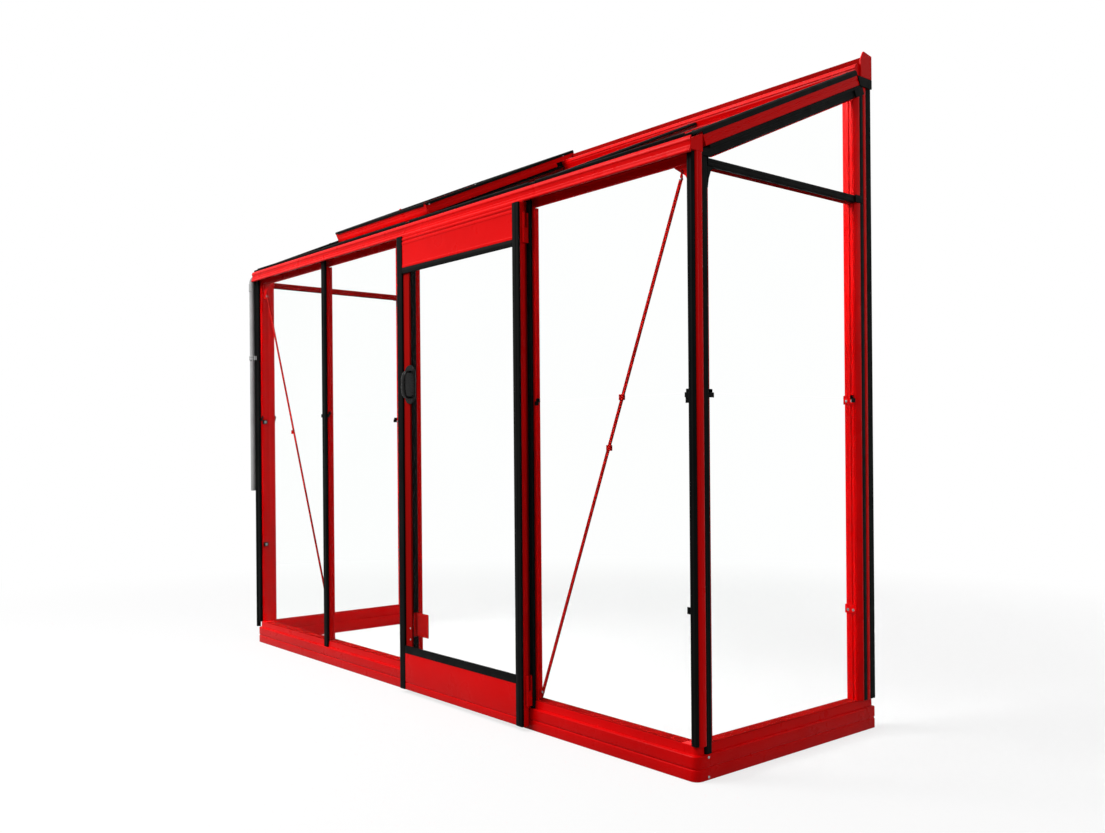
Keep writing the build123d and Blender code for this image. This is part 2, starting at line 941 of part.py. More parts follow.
# Hinges: pins on the jamb, sleeves on the door
fixed_hinges = []
door_hinges = []
for level in (hinge_high, hinge_low):
    low = level - hinge_half
    high = level + hinge_half
    knuckle = Pos(hinge_x, hinge_y, low) * Cylinder(
        hinge_radius, hinge_half, align=(Align.CENTER, Align.CENTER, Align.MIN)
    )
    pin = Pos(hinge_x, hinge_y, level) * Cylinder(
        pin_radius, hinge_half, align=(Align.CENTER, Align.CENTER, Align.MIN)
    )
    arm = block(hinge_arm_left, hinge_arm_right, hinge_y, jamb_face, low, level)
    plate = block(
        hinge_plate_left, hinge_arm_right, hinge_plate_front, jamb_face, low, high
    )
    fixed_hinges.append(knuckle + pin + arm + plate)
    sleeve = Pos(hinge_x, hinge_y, level + hinge_split) * Cylinder(
        hinge_radius, hinge_half - hinge_split, align=(Align.CENTER, Align.CENTER, Align.MIN)
    )
    lug = block(
        door_right, hinge_lug_right, hinge_lug_front, hinge_lug_back, level + hinge_split, high
    )
    bore = Pos(hinge_x, hinge_y, low) * Cylinder(
        pin_radius + pin_play,
        hinge_half + hinge_half,
        align=(Align.CENTER, Align.CENTER, Align.MIN),
    )
    door_hinges.append(sleeve + lug - bore)
save("jamb_hinge_pins", fixed_hinges)
save("door_hinge_sleeves", door_hinges)
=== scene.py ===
import logging
import math
from dataclasses import dataclass, field
from enum import Enum
from typing import Callable, Mapping, Sequence

import bmesh
import bpy
from mathutils import Matrix, Vector


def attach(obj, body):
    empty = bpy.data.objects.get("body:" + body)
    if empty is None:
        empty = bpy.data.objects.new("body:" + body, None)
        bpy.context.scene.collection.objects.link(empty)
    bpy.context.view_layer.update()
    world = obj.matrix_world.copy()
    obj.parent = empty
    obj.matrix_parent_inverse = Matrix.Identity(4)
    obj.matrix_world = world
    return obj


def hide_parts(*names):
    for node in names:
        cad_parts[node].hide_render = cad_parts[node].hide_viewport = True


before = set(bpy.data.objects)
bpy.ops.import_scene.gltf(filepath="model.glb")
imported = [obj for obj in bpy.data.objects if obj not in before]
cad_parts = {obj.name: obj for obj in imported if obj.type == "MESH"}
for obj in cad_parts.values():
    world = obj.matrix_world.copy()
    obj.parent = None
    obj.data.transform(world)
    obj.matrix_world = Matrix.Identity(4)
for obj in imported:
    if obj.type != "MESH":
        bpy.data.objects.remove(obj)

Point = tuple[float, float]
Outline = tuple[Point, ...]
Radii = tuple[float, ...]
Row = tuple[float, ...]
Span = tuple[float, float, float, float]
Spot = tuple[float, float, float]
Colour = tuple[float, float, float, float]
Reach = float | Callable[[float, float], float]
Socket = bpy.types.NodeSocket

LOG = logging.getLogger("greenhouse")
MILLIMETRE = 0.001
SMOOTH_ANGLE = math.radians(32)
NOISE_SPAN = (0.3, 0.7)
EVEN = (1.0, 1.0, 1.0)
# Chamfers in millimetres: of bars that meet others, and of bars that butt closely.
MEET, BUTT = 0.3, 0.2
# Limits of a rounded corner: share of an edge, least cut, and half angle of a straight run.
EDGE_SHARE, LEAST_CUT, STRAIGHT = 0.46, 0.05, 1.5
# A screw head in shares of its radius: profile, and depth of the recess in its inner rings.
HEAD_STEPS, HEAD_ARM = 24, 6
HEAD: Outline = (
    (1, -0.3), (1, 0.18), (0.93, 0.4), (0.74, 0.56), (0.5, 0.62), (0.3, 0.62), (0.1, 0.6),
)
RECESS = ((4, 0.16), (5, 0.3), (6, 0.32))
UP, TO_FRONT, TO_WALL = Vector((0, 0, 1)), Vector((0, -1, 0)), Vector((0, 1, 0))
TO_LEFT, TO_RIGHT = Vector((-1, 0, 0)), Vector((1, 0, 0))


class Body(Enum):
    """The two bodies that pieces ride on."""

    FRAME = "frame"
    DOOR = "door"


class Run(Enum):
    """The way in which a bar's section is carried."""

    LENGTH = "section (y, z) carried along the front"
    DEPTH = "section (x, z) carried towards the wall"
    UPRIGHT = "section (x, y) carried upward"
    SLOPE = "section (x, n) carried up the roof"
    EAVE = "section (s, n) carried along the front on the roof"


@dataclass(frozen=True)
class Plan:
    """Shared sizes, in millimetres from the left front corner of the base."""

    length: float = 2570.0
    depth: float = 781.0
    wall: float = 786.0
    middle_x: float = 1269.5
    middle_y: float = 364.0
    base_top: float = 88.0
    shelf_top: float = 64.8
    shelf_depth: float = 10.6
    header_low: float = 1557.0
    gutter_under: float = 1580.0
    roof_level: float = 1615.0
    pitch: float = math.radians(23.9)
    mullion: float = 619.01
    jamb_left: float = 1232.01
    jamb_right: float = 1911.0
    roof_bars: Row = (619.01, 1245.01, 1934.0)
    roof_end_cap: float = 11.0
    post_shoulder: float = 38.0
    post_back: float = 76.0
    wall_post_front: float = 711.0
    bar_start: float = 40.47
    bar_end: float = 778.78
    joint_level: float = 976.0

    def spot(self, x: float, y: float, z: float) -> Vector:
        """A place in millimetres as a point of the shared frame."""
        return Vector((x - self.middle_x, y - self.middle_y, z)) * MILLIMETRE

    def roof_z(self, y: float, n: float = 0.0) -> float:
        """Height of a plane parallel to the roof glass at depth y."""
        return self.roof_level + y * math.tan(self.pitch) + n / math.cos(self.pitch)

    def roof_square(self) -> Vector:
        """The way that stands square on the roof glass."""
        return Vector((0, -math.sin(self.pitch), math.cos(self.pitch)))

    def on_roof(self, x: float, s: float, n: float) -> Vector:
        """Places a point on the roof.

        Args:
            x: place along the front.
            s: distance up the slope.
            n: distance off the roof glass.

        Returns:
            The point in metres, in the shared frame.
        """
        y = s * math.cos(self.pitch) - n * math.sin(self.pitch)
        z = self.roof_level + s * math.sin(self.pitch) + n * math.cos(self.pitch)
        return self.spot(x, y, z)

    def carry(self, run: Run, u: float, v: float, w: float) -> Vector:
        """Places one point of a carried section.

        Args:
            run: the way in which the section is carried.
            u: first coordinate of the section.
            v: second coordinate of the section.
            w: distance along the run.

        Returns:
            The point in metres, in the shared frame.
        """
        if run is Run.LENGTH:
            return self.spot(w, u, v)
        if run is Run.DEPTH:
            return self.spot(u, w, v)
        if run is Run.UPRIGHT:
            return self.spot(u, v, w)
        return self.on_roof(u, w, v) if run is Run.SLOPE else self.on_roof(w, u, v)

    def ledge(self, outward: float) -> float:
        """Height of the base's shelf, or of its top, at a distance in from its outer face."""
        return self.shelf_top if outward < self.shelf_depth else self.base_top


PLAN = Plan()


def rounded(points: Sequence[Point], radii: float | Sequence[float], steps: int = 4) -> list[Point]:
    """Rounds the corners of a closed outline.

    Args:
        points: corners of the outline in order.
        radii: one radius for all corners, or one for each.
        steps: straight pieces in each arc.

    Returns:
        The corners of the rounded outline.
    """
    sizes = [radii] * len(points) if isinstance(radii, (int, float)) else list(radii)
    outline: list[Point] = []
    for i, size in enumerate(sizes):
        here = Vector(points[i])
        back = Vector(points[i - 1]) - here
        ahead = Vector(points[(i + 1) % len(points)]) - here
        half = back.angle(ahead) / 2
        cut = min(size / math.tan(half), EDGE_SHARE * back.length, EDGE_SHARE * ahead.length)
        if cut < LEAST_CUT or half > STRAIGHT:
            outline.append(tuple(here))
            continue
        start = here + back.normalized() * cut
        stop = here + ahead.normalized() * cut
        middle = here + (back.normalized() + ahead.normalized()).normalized() * cut / math.cos(half)
        first = math.atan2(start.y - middle.y, start.x - middle.x)
        turn = math.atan2(stop.y - middle.y, stop.x - middle.x) - first
        turn = (turn + math.pi) % (2 * math.pi) - math.pi
        reach = (start - middle).length
        for k in range(steps + 1):
            angle = first + turn * k / steps
            outline.append((middle.x + reach * math.cos(angle), middle.y + reach * math.sin(angle)))
    return outline


def inset(points: Sequence[Point], amount: float) -> list[Point]:
    """Moves a closed outline inward, for eased ends.

    Args:
        points: corners of the outline in order.
        amount: distance that each edge moves.

    Returns:
        The corners of the smaller outline.
    """
    count = len(points)
    pairs = [(points[i - 1], points[i]) for i in range(count)]
    hand = 1.0 if sum(a[0] * b[1] - b[0] * a[1] for a, b in pairs) > 0 else -1.0
    moved: list[Point] = []
    for i in range(count):
        here = Vector(points[i])
        before = (here - Vector(points[i - 1])).normalized()
        after = (Vector(points[(i + 1) % count]) - here).normalized()
        left = Vector((-before.y, before.x)) * hand
        right = Vector((-after.y, after.x)) * hand
        moved.append(tuple(here + (left + right) * amount / max(1 + left.dot(right), 0.4)))
    return moved


def slab(x0: float, x1: float, y0: float, y1: float, radius: float, steps: int = 2) -> list[Point]:
    """Outline of a rectangle with rounded corners."""
    return rounded([(x0, y0), (x1, y0), (x1, y1), (x0, y1)], radius, steps)


def placed(outline: Sequence[Point], at: float, hand: int = 1) -> list[Point]:
    """An outline moved along its first axis, and turned over where the hand is -1."""
    return [(at + hand * u, v) for u, v in outline]


def both_halves(half: Sequence[Point]) -> list[Point]:
    """A closed outline made of a half and its mirror image."""
    return [*half, *((-u, v) for u, v in reversed(half))]


def crowned(half: float, thick: float) -> list[Point]:
    """Outline of a cap strip: feet, shoulders and a low crown with a centre line.

    Args:
        half: half of the strip's width.
        thick: height of its crown.

    Returns:
        The corners of the outline, with its foot at 0.
    """
    low, edge, line = thick * 0.5, half * 0.7, half * 0.16
    outline = [
        (-half, 0), (half, 0), (half, low), (edge, thick), (line, thick),
        (0, thick - 1.1), (-line, thick), (-edge, thick), (-half, low),
    ]
    return rounded(outline, [0.4, 0.4, 1.6, 2.4, 0.6, 0.6, 0.6, 2.4, 1.6], 3)


class NodeBench:
    """Places and joins the nodes of one material or world."""

    def __init__(self, owner: bpy.types.Material | bpy.types.World) -> None:
        """Starts with an empty node tree.

        Args:
            owner: the material or world that the nodes belong to.
        """
        self.owner = owner
        owner.use_nodes = True
        self.tree = owner.node_tree
        self.tree.nodes.clear()

    def add(
        self, kind: str, values: Mapping[str | int, object] | None = None, **settings: object
    ) -> bpy.types.Node:
        """Adds a node.

        Args:
            kind: kind of node, without the word that all kinds begin with.
            values: values of its inputs, or sockets that lead to them.
            settings: properties of the node.

        Returns:
            The new node.
        """
        node = self.tree.nodes.new("ShaderNode" + kind)
        for key, value in settings.items():
            setattr(node, key, value)
        for key, value in (values or {}).items():
            if isinstance(value, Socket):
                self.tree.links.new(value, node.inputs[key])
            else:
                node.inputs[key].default_value = value
        return node

    def noise(self, stretch: Spot, scale: float, detail: float) -> Socket:
        """Cloudy noise in the piece's own coordinates.

        Args:
            stretch: how often the noise repeats along each axis.
            scale: overall fineness.
            detail: number of finer layers.

        Returns:
            The socket that gives the noise from 0 to 1.
        """
        place = self.add("TexCoord").outputs["Object"]
        mapped = self.add("Mapping", {"Vector": place, "Scale": stretch}).outputs["Vector"]
        cloud = self.add("TexNoise", {"Vector": mapped, "Scale": scale, "Detail": detail})
        return cloud.outputs["Fac"]

    def ramp(self, source: Socket, dark: Colour, light: Colour) -> Socket:
        """Blends two colours by a noise.

        Args:
            source: the noise.
            dark: colour where the noise is low.
            light: colour where the noise is high.

        Returns:
            The socket that gives the colour.
        """
        node = self.add("ValToRGB", {"Fac": source})
        for stop, place, colour in zip(node.color_ramp.elements, NOISE_SPAN, (dark, light)):
            stop.position = place
            stop.color = colour
        return node.outputs["Color"]

    def spread(
        self, source: Socket, low: float, high: float, span: Point = NOISE_SPAN, **settings: object
    ) -> Socket:
        """Maps a value onto a range.

        Args:
            source: the value.
            low: what the lower end of its span becomes.
            high: what the upper end of its span becomes.
            span: the values that lie at the two ends.
            settings: properties of the node.

        Returns:
            The socket that gives the mapped value.
        """
        ends = {"From Min": span[0], "From Max": span[1], "To Min": low, "To Max": high}
        return self.add("MapRange", {"Value": source, **ends}, **settings).outputs["Result"]

    def math(self, operation: str, first: Socket, second: Socket | float) -> Socket:
        """The result of an operation on two values."""
        return self.add("Math", {0: first, 1: second}, operation=operation).outputs["Value"]

    def mix(self, share: Socket, first: Socket, second: Socket) -> Socket:
        """Two shaders mixed by the share of the second."""
        return self.add("MixShader", {"Fac": share, 1: first, 2: second}).outputs["Shader"]

    def seen(self) -> Socket:
        """Finds the rays that show the surroundings and have not yet lit a surface.

        Returns:
            A socket that is 1 for such camera, glossy and transmission rays.
        """
        path = self.add("LightPath").outputs
        share = path["Is Camera Ray"]
        for kind in ("Is Glossy Ray", "Is Transmission Ray"):
            share = self.math("MAXIMUM", share, path[kind])
        return self.math("MULTIPLY", share, self.math("LESS_THAN", path["Diffuse Depth"], 0.5))

    def show(self, shader: Socket) -> bpy.types.Material | bpy.types.World:
        """Ends the tree in its output.

        Args:
            shader: what the surface shows.

        Returns:
            The finished material or world.
        """
        of_world = isinstance(self.owner, bpy.types.World)
        self.add("OutputWorld" if of_world else "OutputMaterial", {"Surface": shader})
        return self.owner


@dataclass(frozen=True)
class Finish:
    """A coated, moulded or bare surface with patchy colour, uneven gloss and a fine grain."""

    name: str
    slot: str
    dark: Colour
    light: Colour
    gloss: Point
    patch: float = 5.0
    streak: Spot = EVEN
    grain: float = 900.0
    grain_height: float = 0.00008
    metal: float = 0.0
    shine: float = 0.3
    smear: float = 4.3
    bump: float = 0.6

    def material(self) -> bpy.types.Material:
        """The finish's material, made once."""
        return bpy.data.materials.get(self.name) or self.make()

    def make(self) -> bpy.types.Material:
        """Builds the node material from three layers of noise.

        Returns:
            The new material.
        """
        bench = NodeBench(bpy.data.materials.new(self.name))
        patches = bench.noise(self.streak, self.patch, 5.0)
        smears = bench.noise(self.streak, self.patch * self.smear, 4.0)
        grain = bench.noise(EVEN, self.grain, 2.0)
        bump = {"Strength": self.bump, "Distance": self.grain_height, "Height": grain}
        shader = bench.add("BsdfPrincipled", {
            "Metallic": self.metal,
            "Specular IOR Level": self.shine,
            "Base Color": bench.ramp(patches, self.dark, self.light),
            "Roughness": bench.spread(smears, *self.gloss),
            "Normal": bench.add("Bump", bump).outputs["Normal"],
        })
        return bench.show(shader.outputs["BSDF"])


@dataclass(frozen=True)
class ClearGlass(Finish):
    """Float glass that lets lamp light through and carries faint water marks."""

    bend: float = 1.03
    shade: float = 0.86

    def make(self) -> bpy.types.Material:
        """Builds the node material.

        Returns:
            The new material.
        """
        bench = NodeBench(bpy.data.materials.new(self.name))
        marks = bench.noise(self.streak, self.patch, 5.0)
        shader = bench.add("BsdfPrincipled", {
            "Transmission Weight": 1.0,
            "IOR": self.bend,
            "Base Color": bench.ramp(marks, self.dark, self.light),
            "Roughness": bench.spread(marks, *self.gloss),
        })
        through = bench.add("BsdfTransparent", {"Color": (self.shade, self.shade, self.shade, 1.0)})
        shadow = bench.add("LightPath").outputs["Is Shadow Ray"]
        return bench.show(bench.mix(shadow, shader.outputs["BSDF"], through.outputs["BSDF"]))


RED = Finish(
    "red_powder_coat", "red_coat", (0.62, 0.0004, 0.0009, 1), (0.74, 0.0009, 0.0015, 1),
    (0.24, 0.38), patch=3.2, grain=620.0, grain_height=0.00004, shine=0.05,
)
# The same red coat painted darker and without shine: painted shade for members that lie in shade,
# behind glass or under other parts.
SHADED_RED = Finish(
    "red_coat_painted_shade", "red_coat", (0.24, 0.0035, 0.003, 1), (0.36, 0.006, 0.005, 1),
    (0.26, 0.42), patch=4.0, streak=(1.0, 1.0, 0.3), grain=620.0, grain_height=0.00004, shine=0.0,
)
BLACK = Finish(
    "black_cap_strip", "black_strip", (0.0012, 0.0013, 0.0012, 1), (0.0042, 0.0045, 0.0042, 1),
    (0.4, 0.6), patch=7.0, grain=1100.0, grain_height=0.0001, shine=0.035,
)
GREY = Finish(
    "grey_pipe_plastic", "grey_plastic", (0.32, 0.32, 0.32, 1), (0.42, 0.42, 0.42, 1),
    (0.4, 0.6), patch=9.0, grain=700.0, shine=0.2,
)
MOULDED = Finish(
    "moulded_handle_black", "black_plastic", (0.0022, 0.0022, 0.0022, 1), (0.006, 0.006, 0.0057, 1),
    (0.2, 0.36), patch=30.0, grain=1500.0, shine=0.08,
)
ZINC = Finish(
    "zinc_screw_steel", "zinc_steel", (0.24, 0.24, 0.25, 1), (0.42, 0.42, 0.41, 1),
    (0.22, 0.4), patch=160.0, grain=2500.0, metal=1.0, shine=0.5,
)
GLASS = ClearGlass(
    "clear_float_glass", "clear_glass", (0.985, 0.994, 0.99, 1), (0.994, 1.0, 0.997, 1),
    (0.0, 0.012), patch=2.5,
)


@dataclass
class Shape:
    """The faces of one piece, gathered in metres."""

    verts: list[Vector] = field(default_factory=list)
    faces: list[tuple[int, ...]] = field(default_factory=list)

    def loft(self, rings: Sequence[Sequence[Vector]], closed: bool = False) -> "Shape":
        """Skins rings of equal count.

        Args:
            rings: rings of points in order.
            closed: True where the last ring joins the first, otherwise both ends are capped.

        Returns:
            The same shape.
        """
        base, size = len(self.verts), len(rings[0])
        for ring in rings:
            self.verts.extend(ring)
        for i in range(len(rings) if closed else len(rings) - 1):
            low = base + i * size
            high = base + (i + 1) % len(rings) * size
            for k in range(size):
                n = (k + 1) % size
                self.faces.append((low + k, low + n, high + n, high + k))
        if not closed:
            for first in (base, base + (len(rings) - 1) * size):
                self.faces.append(tuple(range(first, first + size)))
        return self

    def bar(
        self, run: Run, section: Sequence[Point], start: Reach, end: Reach, ease: float = 0.5
    ) -> "Shape":
        """Carries a section along a run, with eased ends.

        Args:
            run: the way in which the section is carried.
            section: closed outline of the bar.
            start: where the bar begins, or a rule that gives it for each point.
            end: where the bar ends, or a rule that gives it for each point.
            ease: size of the chamfer round both ends.

        Returns:
            The same shape.
        """
        small = inset(section, ease)
        rings = []
        for points, reach, step in (
            (small, start, 0.0), (section, start, ease), (section, end, -ease), (small, end, 0.0),
        ):
            rings.append([
                PLAN.carry(run, u, v, (reach(u, v) if callable(reach) else reach) + step)
                for u, v in points
            ])
        return self.loft(rings)

    def turned(
        self, profile: Sequence[Point], foot: Vector, axis: Vector, steps: int = HEAD_STEPS,
        closed: bool = False,
    ) -> None:
        """Turns a profile of (radius, height) in millimetres round an axis.

        Args:
            profile: points from the foot upward, or round a closed wall.
            foot: the axis point at height 0, in metres.
            axis: direction of the axis.
            steps: points in each ring.
            closed: True where the profile is a closed wall, as of a tube.
        """
        aim = axis.normalized()
        side = aim.orthogonal().normalized()
        across = aim.cross(side)
        turns = [2 * math.pi * k / steps for k in range(steps)]
        rings = []
        for radius, height in profile:
            rings.append([
                foot
                + (aim * height + side * radius * math.cos(t) + across * radius * math.sin(t))
                * MILLIMETRE
                for t in turns
            ])
        self.loft(rings, closed)

    def screw(self, at: Vector, out: Vector, radius: float = 4.2) -> None:
        """A pan head with a cross recess.

        Args:
            at: where the head sits, in metres.
            out: the way the head faces.
            radius: radius of the head in millimetres.
        """
        first = len(self.verts)
        self.turned([(r * radius, h * radius) for r, h in HEAD], at, out)
        aim = out.normalized()
        for ring, depth in RECESS:
            for k in range(HEAD_STEPS):
                if k % HEAD_ARM == 0 or ring == len(HEAD) - 1:
                    self.verts[first + ring * HEAD_STEPS + k] -= aim * depth * radius * MILLIMETRE

    def nut(self, at: Vector, out: Vector, radius: float = 6.0) -> None:
        """A hexagon nut on a washer with the bolt's end.

        Args:
            at: where the washer sits, in metres.
            out: the way the nut faces.
            radius: radius across the nut's corners in millimetres.
        """
        r = radius
        self.turned([(r * 1.25, -0.3), (r * 1.25, 0.9), (r * 1.15, 1.2)], at, out)
        self.turned([(r * 0.96, 1.0), (r, 1.6), (r, r * 0.7), (r * 0.9, r * 0.8)], at, out, 6)
        self.turned([(r * 0.5, 1.0), (r * 0.5, r), (r * 0.4, r * 1.1)], at, out, 16)

    def mirror(self) -> "Shape":
        """Adds the same faces at the other end of the greenhouse.

        Returns:
            The same shape.
        """
        base = len(self.verts)
        twice = (PLAN.length / 2 - PLAN.middle_x) * 2 * MILLIMETRE
        self.verts.extend([Vector((twice - p.x, p.y, p.z)) for p in self.verts])
        self.faces.extend([tuple(base + i for i in reversed(face)) for face in self.faces])
        return self

    def piece(
        self, name: str, finish: Finish, stands_for: Sequence[str] = (), body: Body = Body.FRAME
    ) -> None:
        """Makes the object, dresses it and lets it ride on its body.

        Args:
            name: name of the piece.
            finish: finish of its surface.
            stands_for: solids of the frame that it takes the place of.
            body: the body that it rides on.
        """
        mesh = bpy.data.meshes.new(name)
        mesh.from_pydata([tuple(p) for p in self.verts], [], self.faces)
        work = bmesh.new()
        work.from_mesh(mesh)
        bmesh.ops.recalc_face_normals(work, faces=work.faces)
        work.to_mesh(mesh)
        work.free()
        mesh.polygons.foreach_set("use_smooth", [True] * len(mesh.polygons))
        mesh.set_sharp_from_angle(angle=SMOOTH_ANGLE)
        mesh.materials.append(finish.material())
        made = bpy.data.objects.new(name, mesh)
        bpy.context.scene.collection.objects.link(made)
        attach(made, body.value)
        if stands_for:
            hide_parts(*stands_for)
        LOG.info("%s: %d faces in %s", name, len(mesh.polygons), finish.name)


@dataclass
class BaseRails:
    """Base rails with a shelf and grooved faces, glazing beads, corner keys and the threshold."""

    width: float = 50.0
    chamfer: float = 22.0
    seam: float = 0.4
    doorway: Point = (1277.01, 1866.0)
    bead: Span = (11.3, 49.6, 87.0, 89.0)
    bead_start: float = 62.0
    corner_steps: int = 6
    screw_back: float = 44.0
    screw_heights: Point = (8.0, 57.6)
    sill_top: float = 40.0
    sill_rib: float = 38.6
    sill_grooves: Row = (18.0, 24.0, 30.0, 36.0, 42.0)
    outline: Outline = (
        (0, 0), (0, 28), (2.2, 29.5), (2.2, 32.5), (0, 34), (0, 62), (1.6, 64), (10, 64.6),
        (11, 88), (36, 88), (36, 86), (40, 86), (40, 88), (50, 88), (50, 52), (48, 50), (48, 46),
        (50, 44), (50, 0),
    )
    radii: Radii = (
        1, 0.7, 0.6, 0.6, 0.7, 0.8, 0.8, 0.8, 1.2, 0.6, 0.4, 0.4, 0.6, 1.2, 0.6, 0.6, 0.6, 0.6, 0.8,
    )

    def build(self) -> None:
        """Makes the rails, beads, keys, threshold and screws."""
        section = rounded(self.outline, self.radii, 3)
        left, right = self.doorway
        start, end = self.width + self.seam, PLAN.length - self.width - self.seam
        for side, low, high in (("left", start, left), ("right", right, end)):
            rail = Shape().bar(Run.LENGTH, section, low, high, MEET)
            rail.piece(f"front_base_rail_{side}", RED, [f"base_front_{side}"])
        ends = Shape().bar(Run.DEPTH, section, start, PLAN.depth, MEET)
        ends.mirror().piece("end_base_rails", RED, ["base_ends"])
        strip, start = slab(*self.bead, 0.5), self.bead_start
        beads = Shape().bar(Run.DEPTH, strip, start, PLAN.wall_post_front, MEET).mirror()
        for low, high in ((start, left - 8), (right + 20, PLAN.length - start)):
            beads.bar(Run.LENGTH, strip, low, high, MEET)
        # The beads cover the base's top in the darker red, as painted shade on that top face.
        beads.piece("base_glass_beads", SHADED_RED)
        rings = [self.corner_ring(section, k) for k in range(self.corner_steps + 3)]
        Shape().loft(rings).mirror().piece("base_corner_keys", RED, ["base_corners"])
        self.threshold()
        heads = Shape()
        for z in self.screw_heights:
            heads.screw(PLAN.spot(0, self.screw_back, z), TO_LEFT, 3.6)
        heads.mirror().piece("base_corner_screws", ZINC)

    def corner_ring(self, section: Sequence[Point], station: int) -> list[Vector]:
        """One of the rings that lead a rail's section round a rounded corner.

        Args:
            section: section of the rail.
            station: number of the ring, from the front rail to the end rail.

        Returns:
            The points of the ring.
        """
        ring = []
        for d, z in section:
            turn = math.pi / 2 * min(max(station - 1, 0), self.corner_steps) / self.corner_steps
            reach = max(self.chamfer - d, 0.0)
            middle = d + reach
            x, y = middle - reach * math.sin(turn), middle - reach * math.cos(turn)
            if station == 0:
                x, y = self.width, d
            if station == self.corner_steps + 2:
                x, y = d, self.width
            ring.append(PLAN.spot(x, y, z))
        return ring

    def threshold(self) -> None:
        """A ribbed sill across the doorway."""
        top, rib = self.sill_top, self.sill_rib
        outline: list[Point] = [(10, 0), (10, top - 4), (14, top)]
        for x in self.sill_grooves:
            outline += [(x, top), (x + 1, rib), (x + 2, rib), (x + 3, top)]
        outline += [(self.width, top), (self.width, 0)]
        low, high = self.doorway
        sill = Shape().bar(Run.LENGTH, rounded(outline, 0.5, 2), low + BUTT, high - BUTT)
        sill.piece("door_sill", RED, ["door_threshold"])


@dataclass
class CornerPosts:
    """Rounded corner posts with glazing rebates, and their brackets."""

    outline: Outline = (
        (-4, 12), (12, 12), (12, 16), (30, 16), (30, 40), (28, 41), (28, 51), (30, 52),
        (30, PLAN.post_back), (15, PLAN.post_back), (15, PLAN.post_shoulder),
        (-4, PLAN.post_shoulder),
    )
    radii: Radii = (12, 0.6, 0.6, 1.5, 0.6, 0.6, 0.6, 0.6, 1.5, 1, 0.8, 12)
    bracket_leaves: tuple[Span, ...] = ((30, 44, 17, 19.5), (30, 32.5, 17, 40))
    bracket_levels: Point = (960.0, 425.0)
    bracket_half: float = 9.0

    def build(self) -> None:
        """Makes both posts and their brackets."""
        section = rounded(self.outline, self.radii, 6)
        posts = Shape().bar(Run.UPRIGHT, section, PLAN.base_top, PLAN.gutter_under)
        posts.mirror().piece("corner_post_bars", RED, ["corner_posts"])
        brackets, nuts = Shape(), Shape()
        for z in self.bracket_levels:
            low, high = z - self.bracket_half, z + self.bracket_half
            for leaf in self.bracket_leaves:
                brackets.bar(Run.UPRIGHT, slab(*leaf, 0.8), low, high)
            nuts.nut(PLAN.spot(32.5, 30, z), TO_RIGHT, 4.6)
        brackets.mirror().piece("corner_post_brackets", BLACK)
        nuts.mirror().piece("corner_post_nuts", ZINC)


@dataclass
class GlazingBars:
    """The bar between the left panes and the two door jambs, about their own middles."""

    bar_half: Outline = (
        (6, 12), (6, 16), (17, 16), (17, 19), (5, 19), (5, 25), (4, 26), (4, 29), (5, 30), (5, 36),
        (9, 36), (9, 42),
    )
    jamb: Outline = (
        (-45, 2), (-32, 2), (-31, 3.2), (-27, 3.2), (-26, 2), (-14, 2), (-14, 12), (6, 12), (6, 16),
        (17, 16), (17, 19), (5, 19), (5, 25), (3.6, 26), (3.6, 31), (5, 32), (5, 42), (-7, 42),
        (-7, 32), (-45, 32), (-45, 20), (-43, 19), (-43, 14), (-45, 13),
    )
    seal: Outline = ((44.6, 2.6), (47, 3), (47.6, 8), (46.4, 14), (44.6, 14))

    def build(self) -> None:
        """Makes the bar, both jambs and a black seal on the latch jamb, which is painted shade in
        the gap beside the door.
        """
        bar, jamb = rounded(both_halves(self.bar_half), 0.8, 2), rounded(self.jamb, 0.9, 3)
        for outline, at, hand, name, node in (
            (bar, PLAN.mullion, 1, "front_glazing_bar", "mullion_left"),
            (jamb, PLAN.jamb_left, -1, "jamb_bar_left", "door_jamb_left"),
            (jamb, PLAN.jamb_right, 1, "jamb_bar_right", "door_jamb_right"),
        ):
            self.upright(placed(outline, at, hand)).piece(name, RED, [node])
        # A black seal on the latch jamb's inner face, as painted shade in the gap between the jamb
        # and the door.
        seal = placed(rounded(self.seal, 0.5, 2), PLAN.jamb_left)
        self.upright(seal).piece("latch_jamb_shade_seal", BLACK)

    def upright(self, outline: Sequence[Point]) -> Shape:
        """A bar from the base up to the header."""
        return Shape().bar(Run.UPRIGHT, outline, PLAN.base_top, PLAN.header_low)


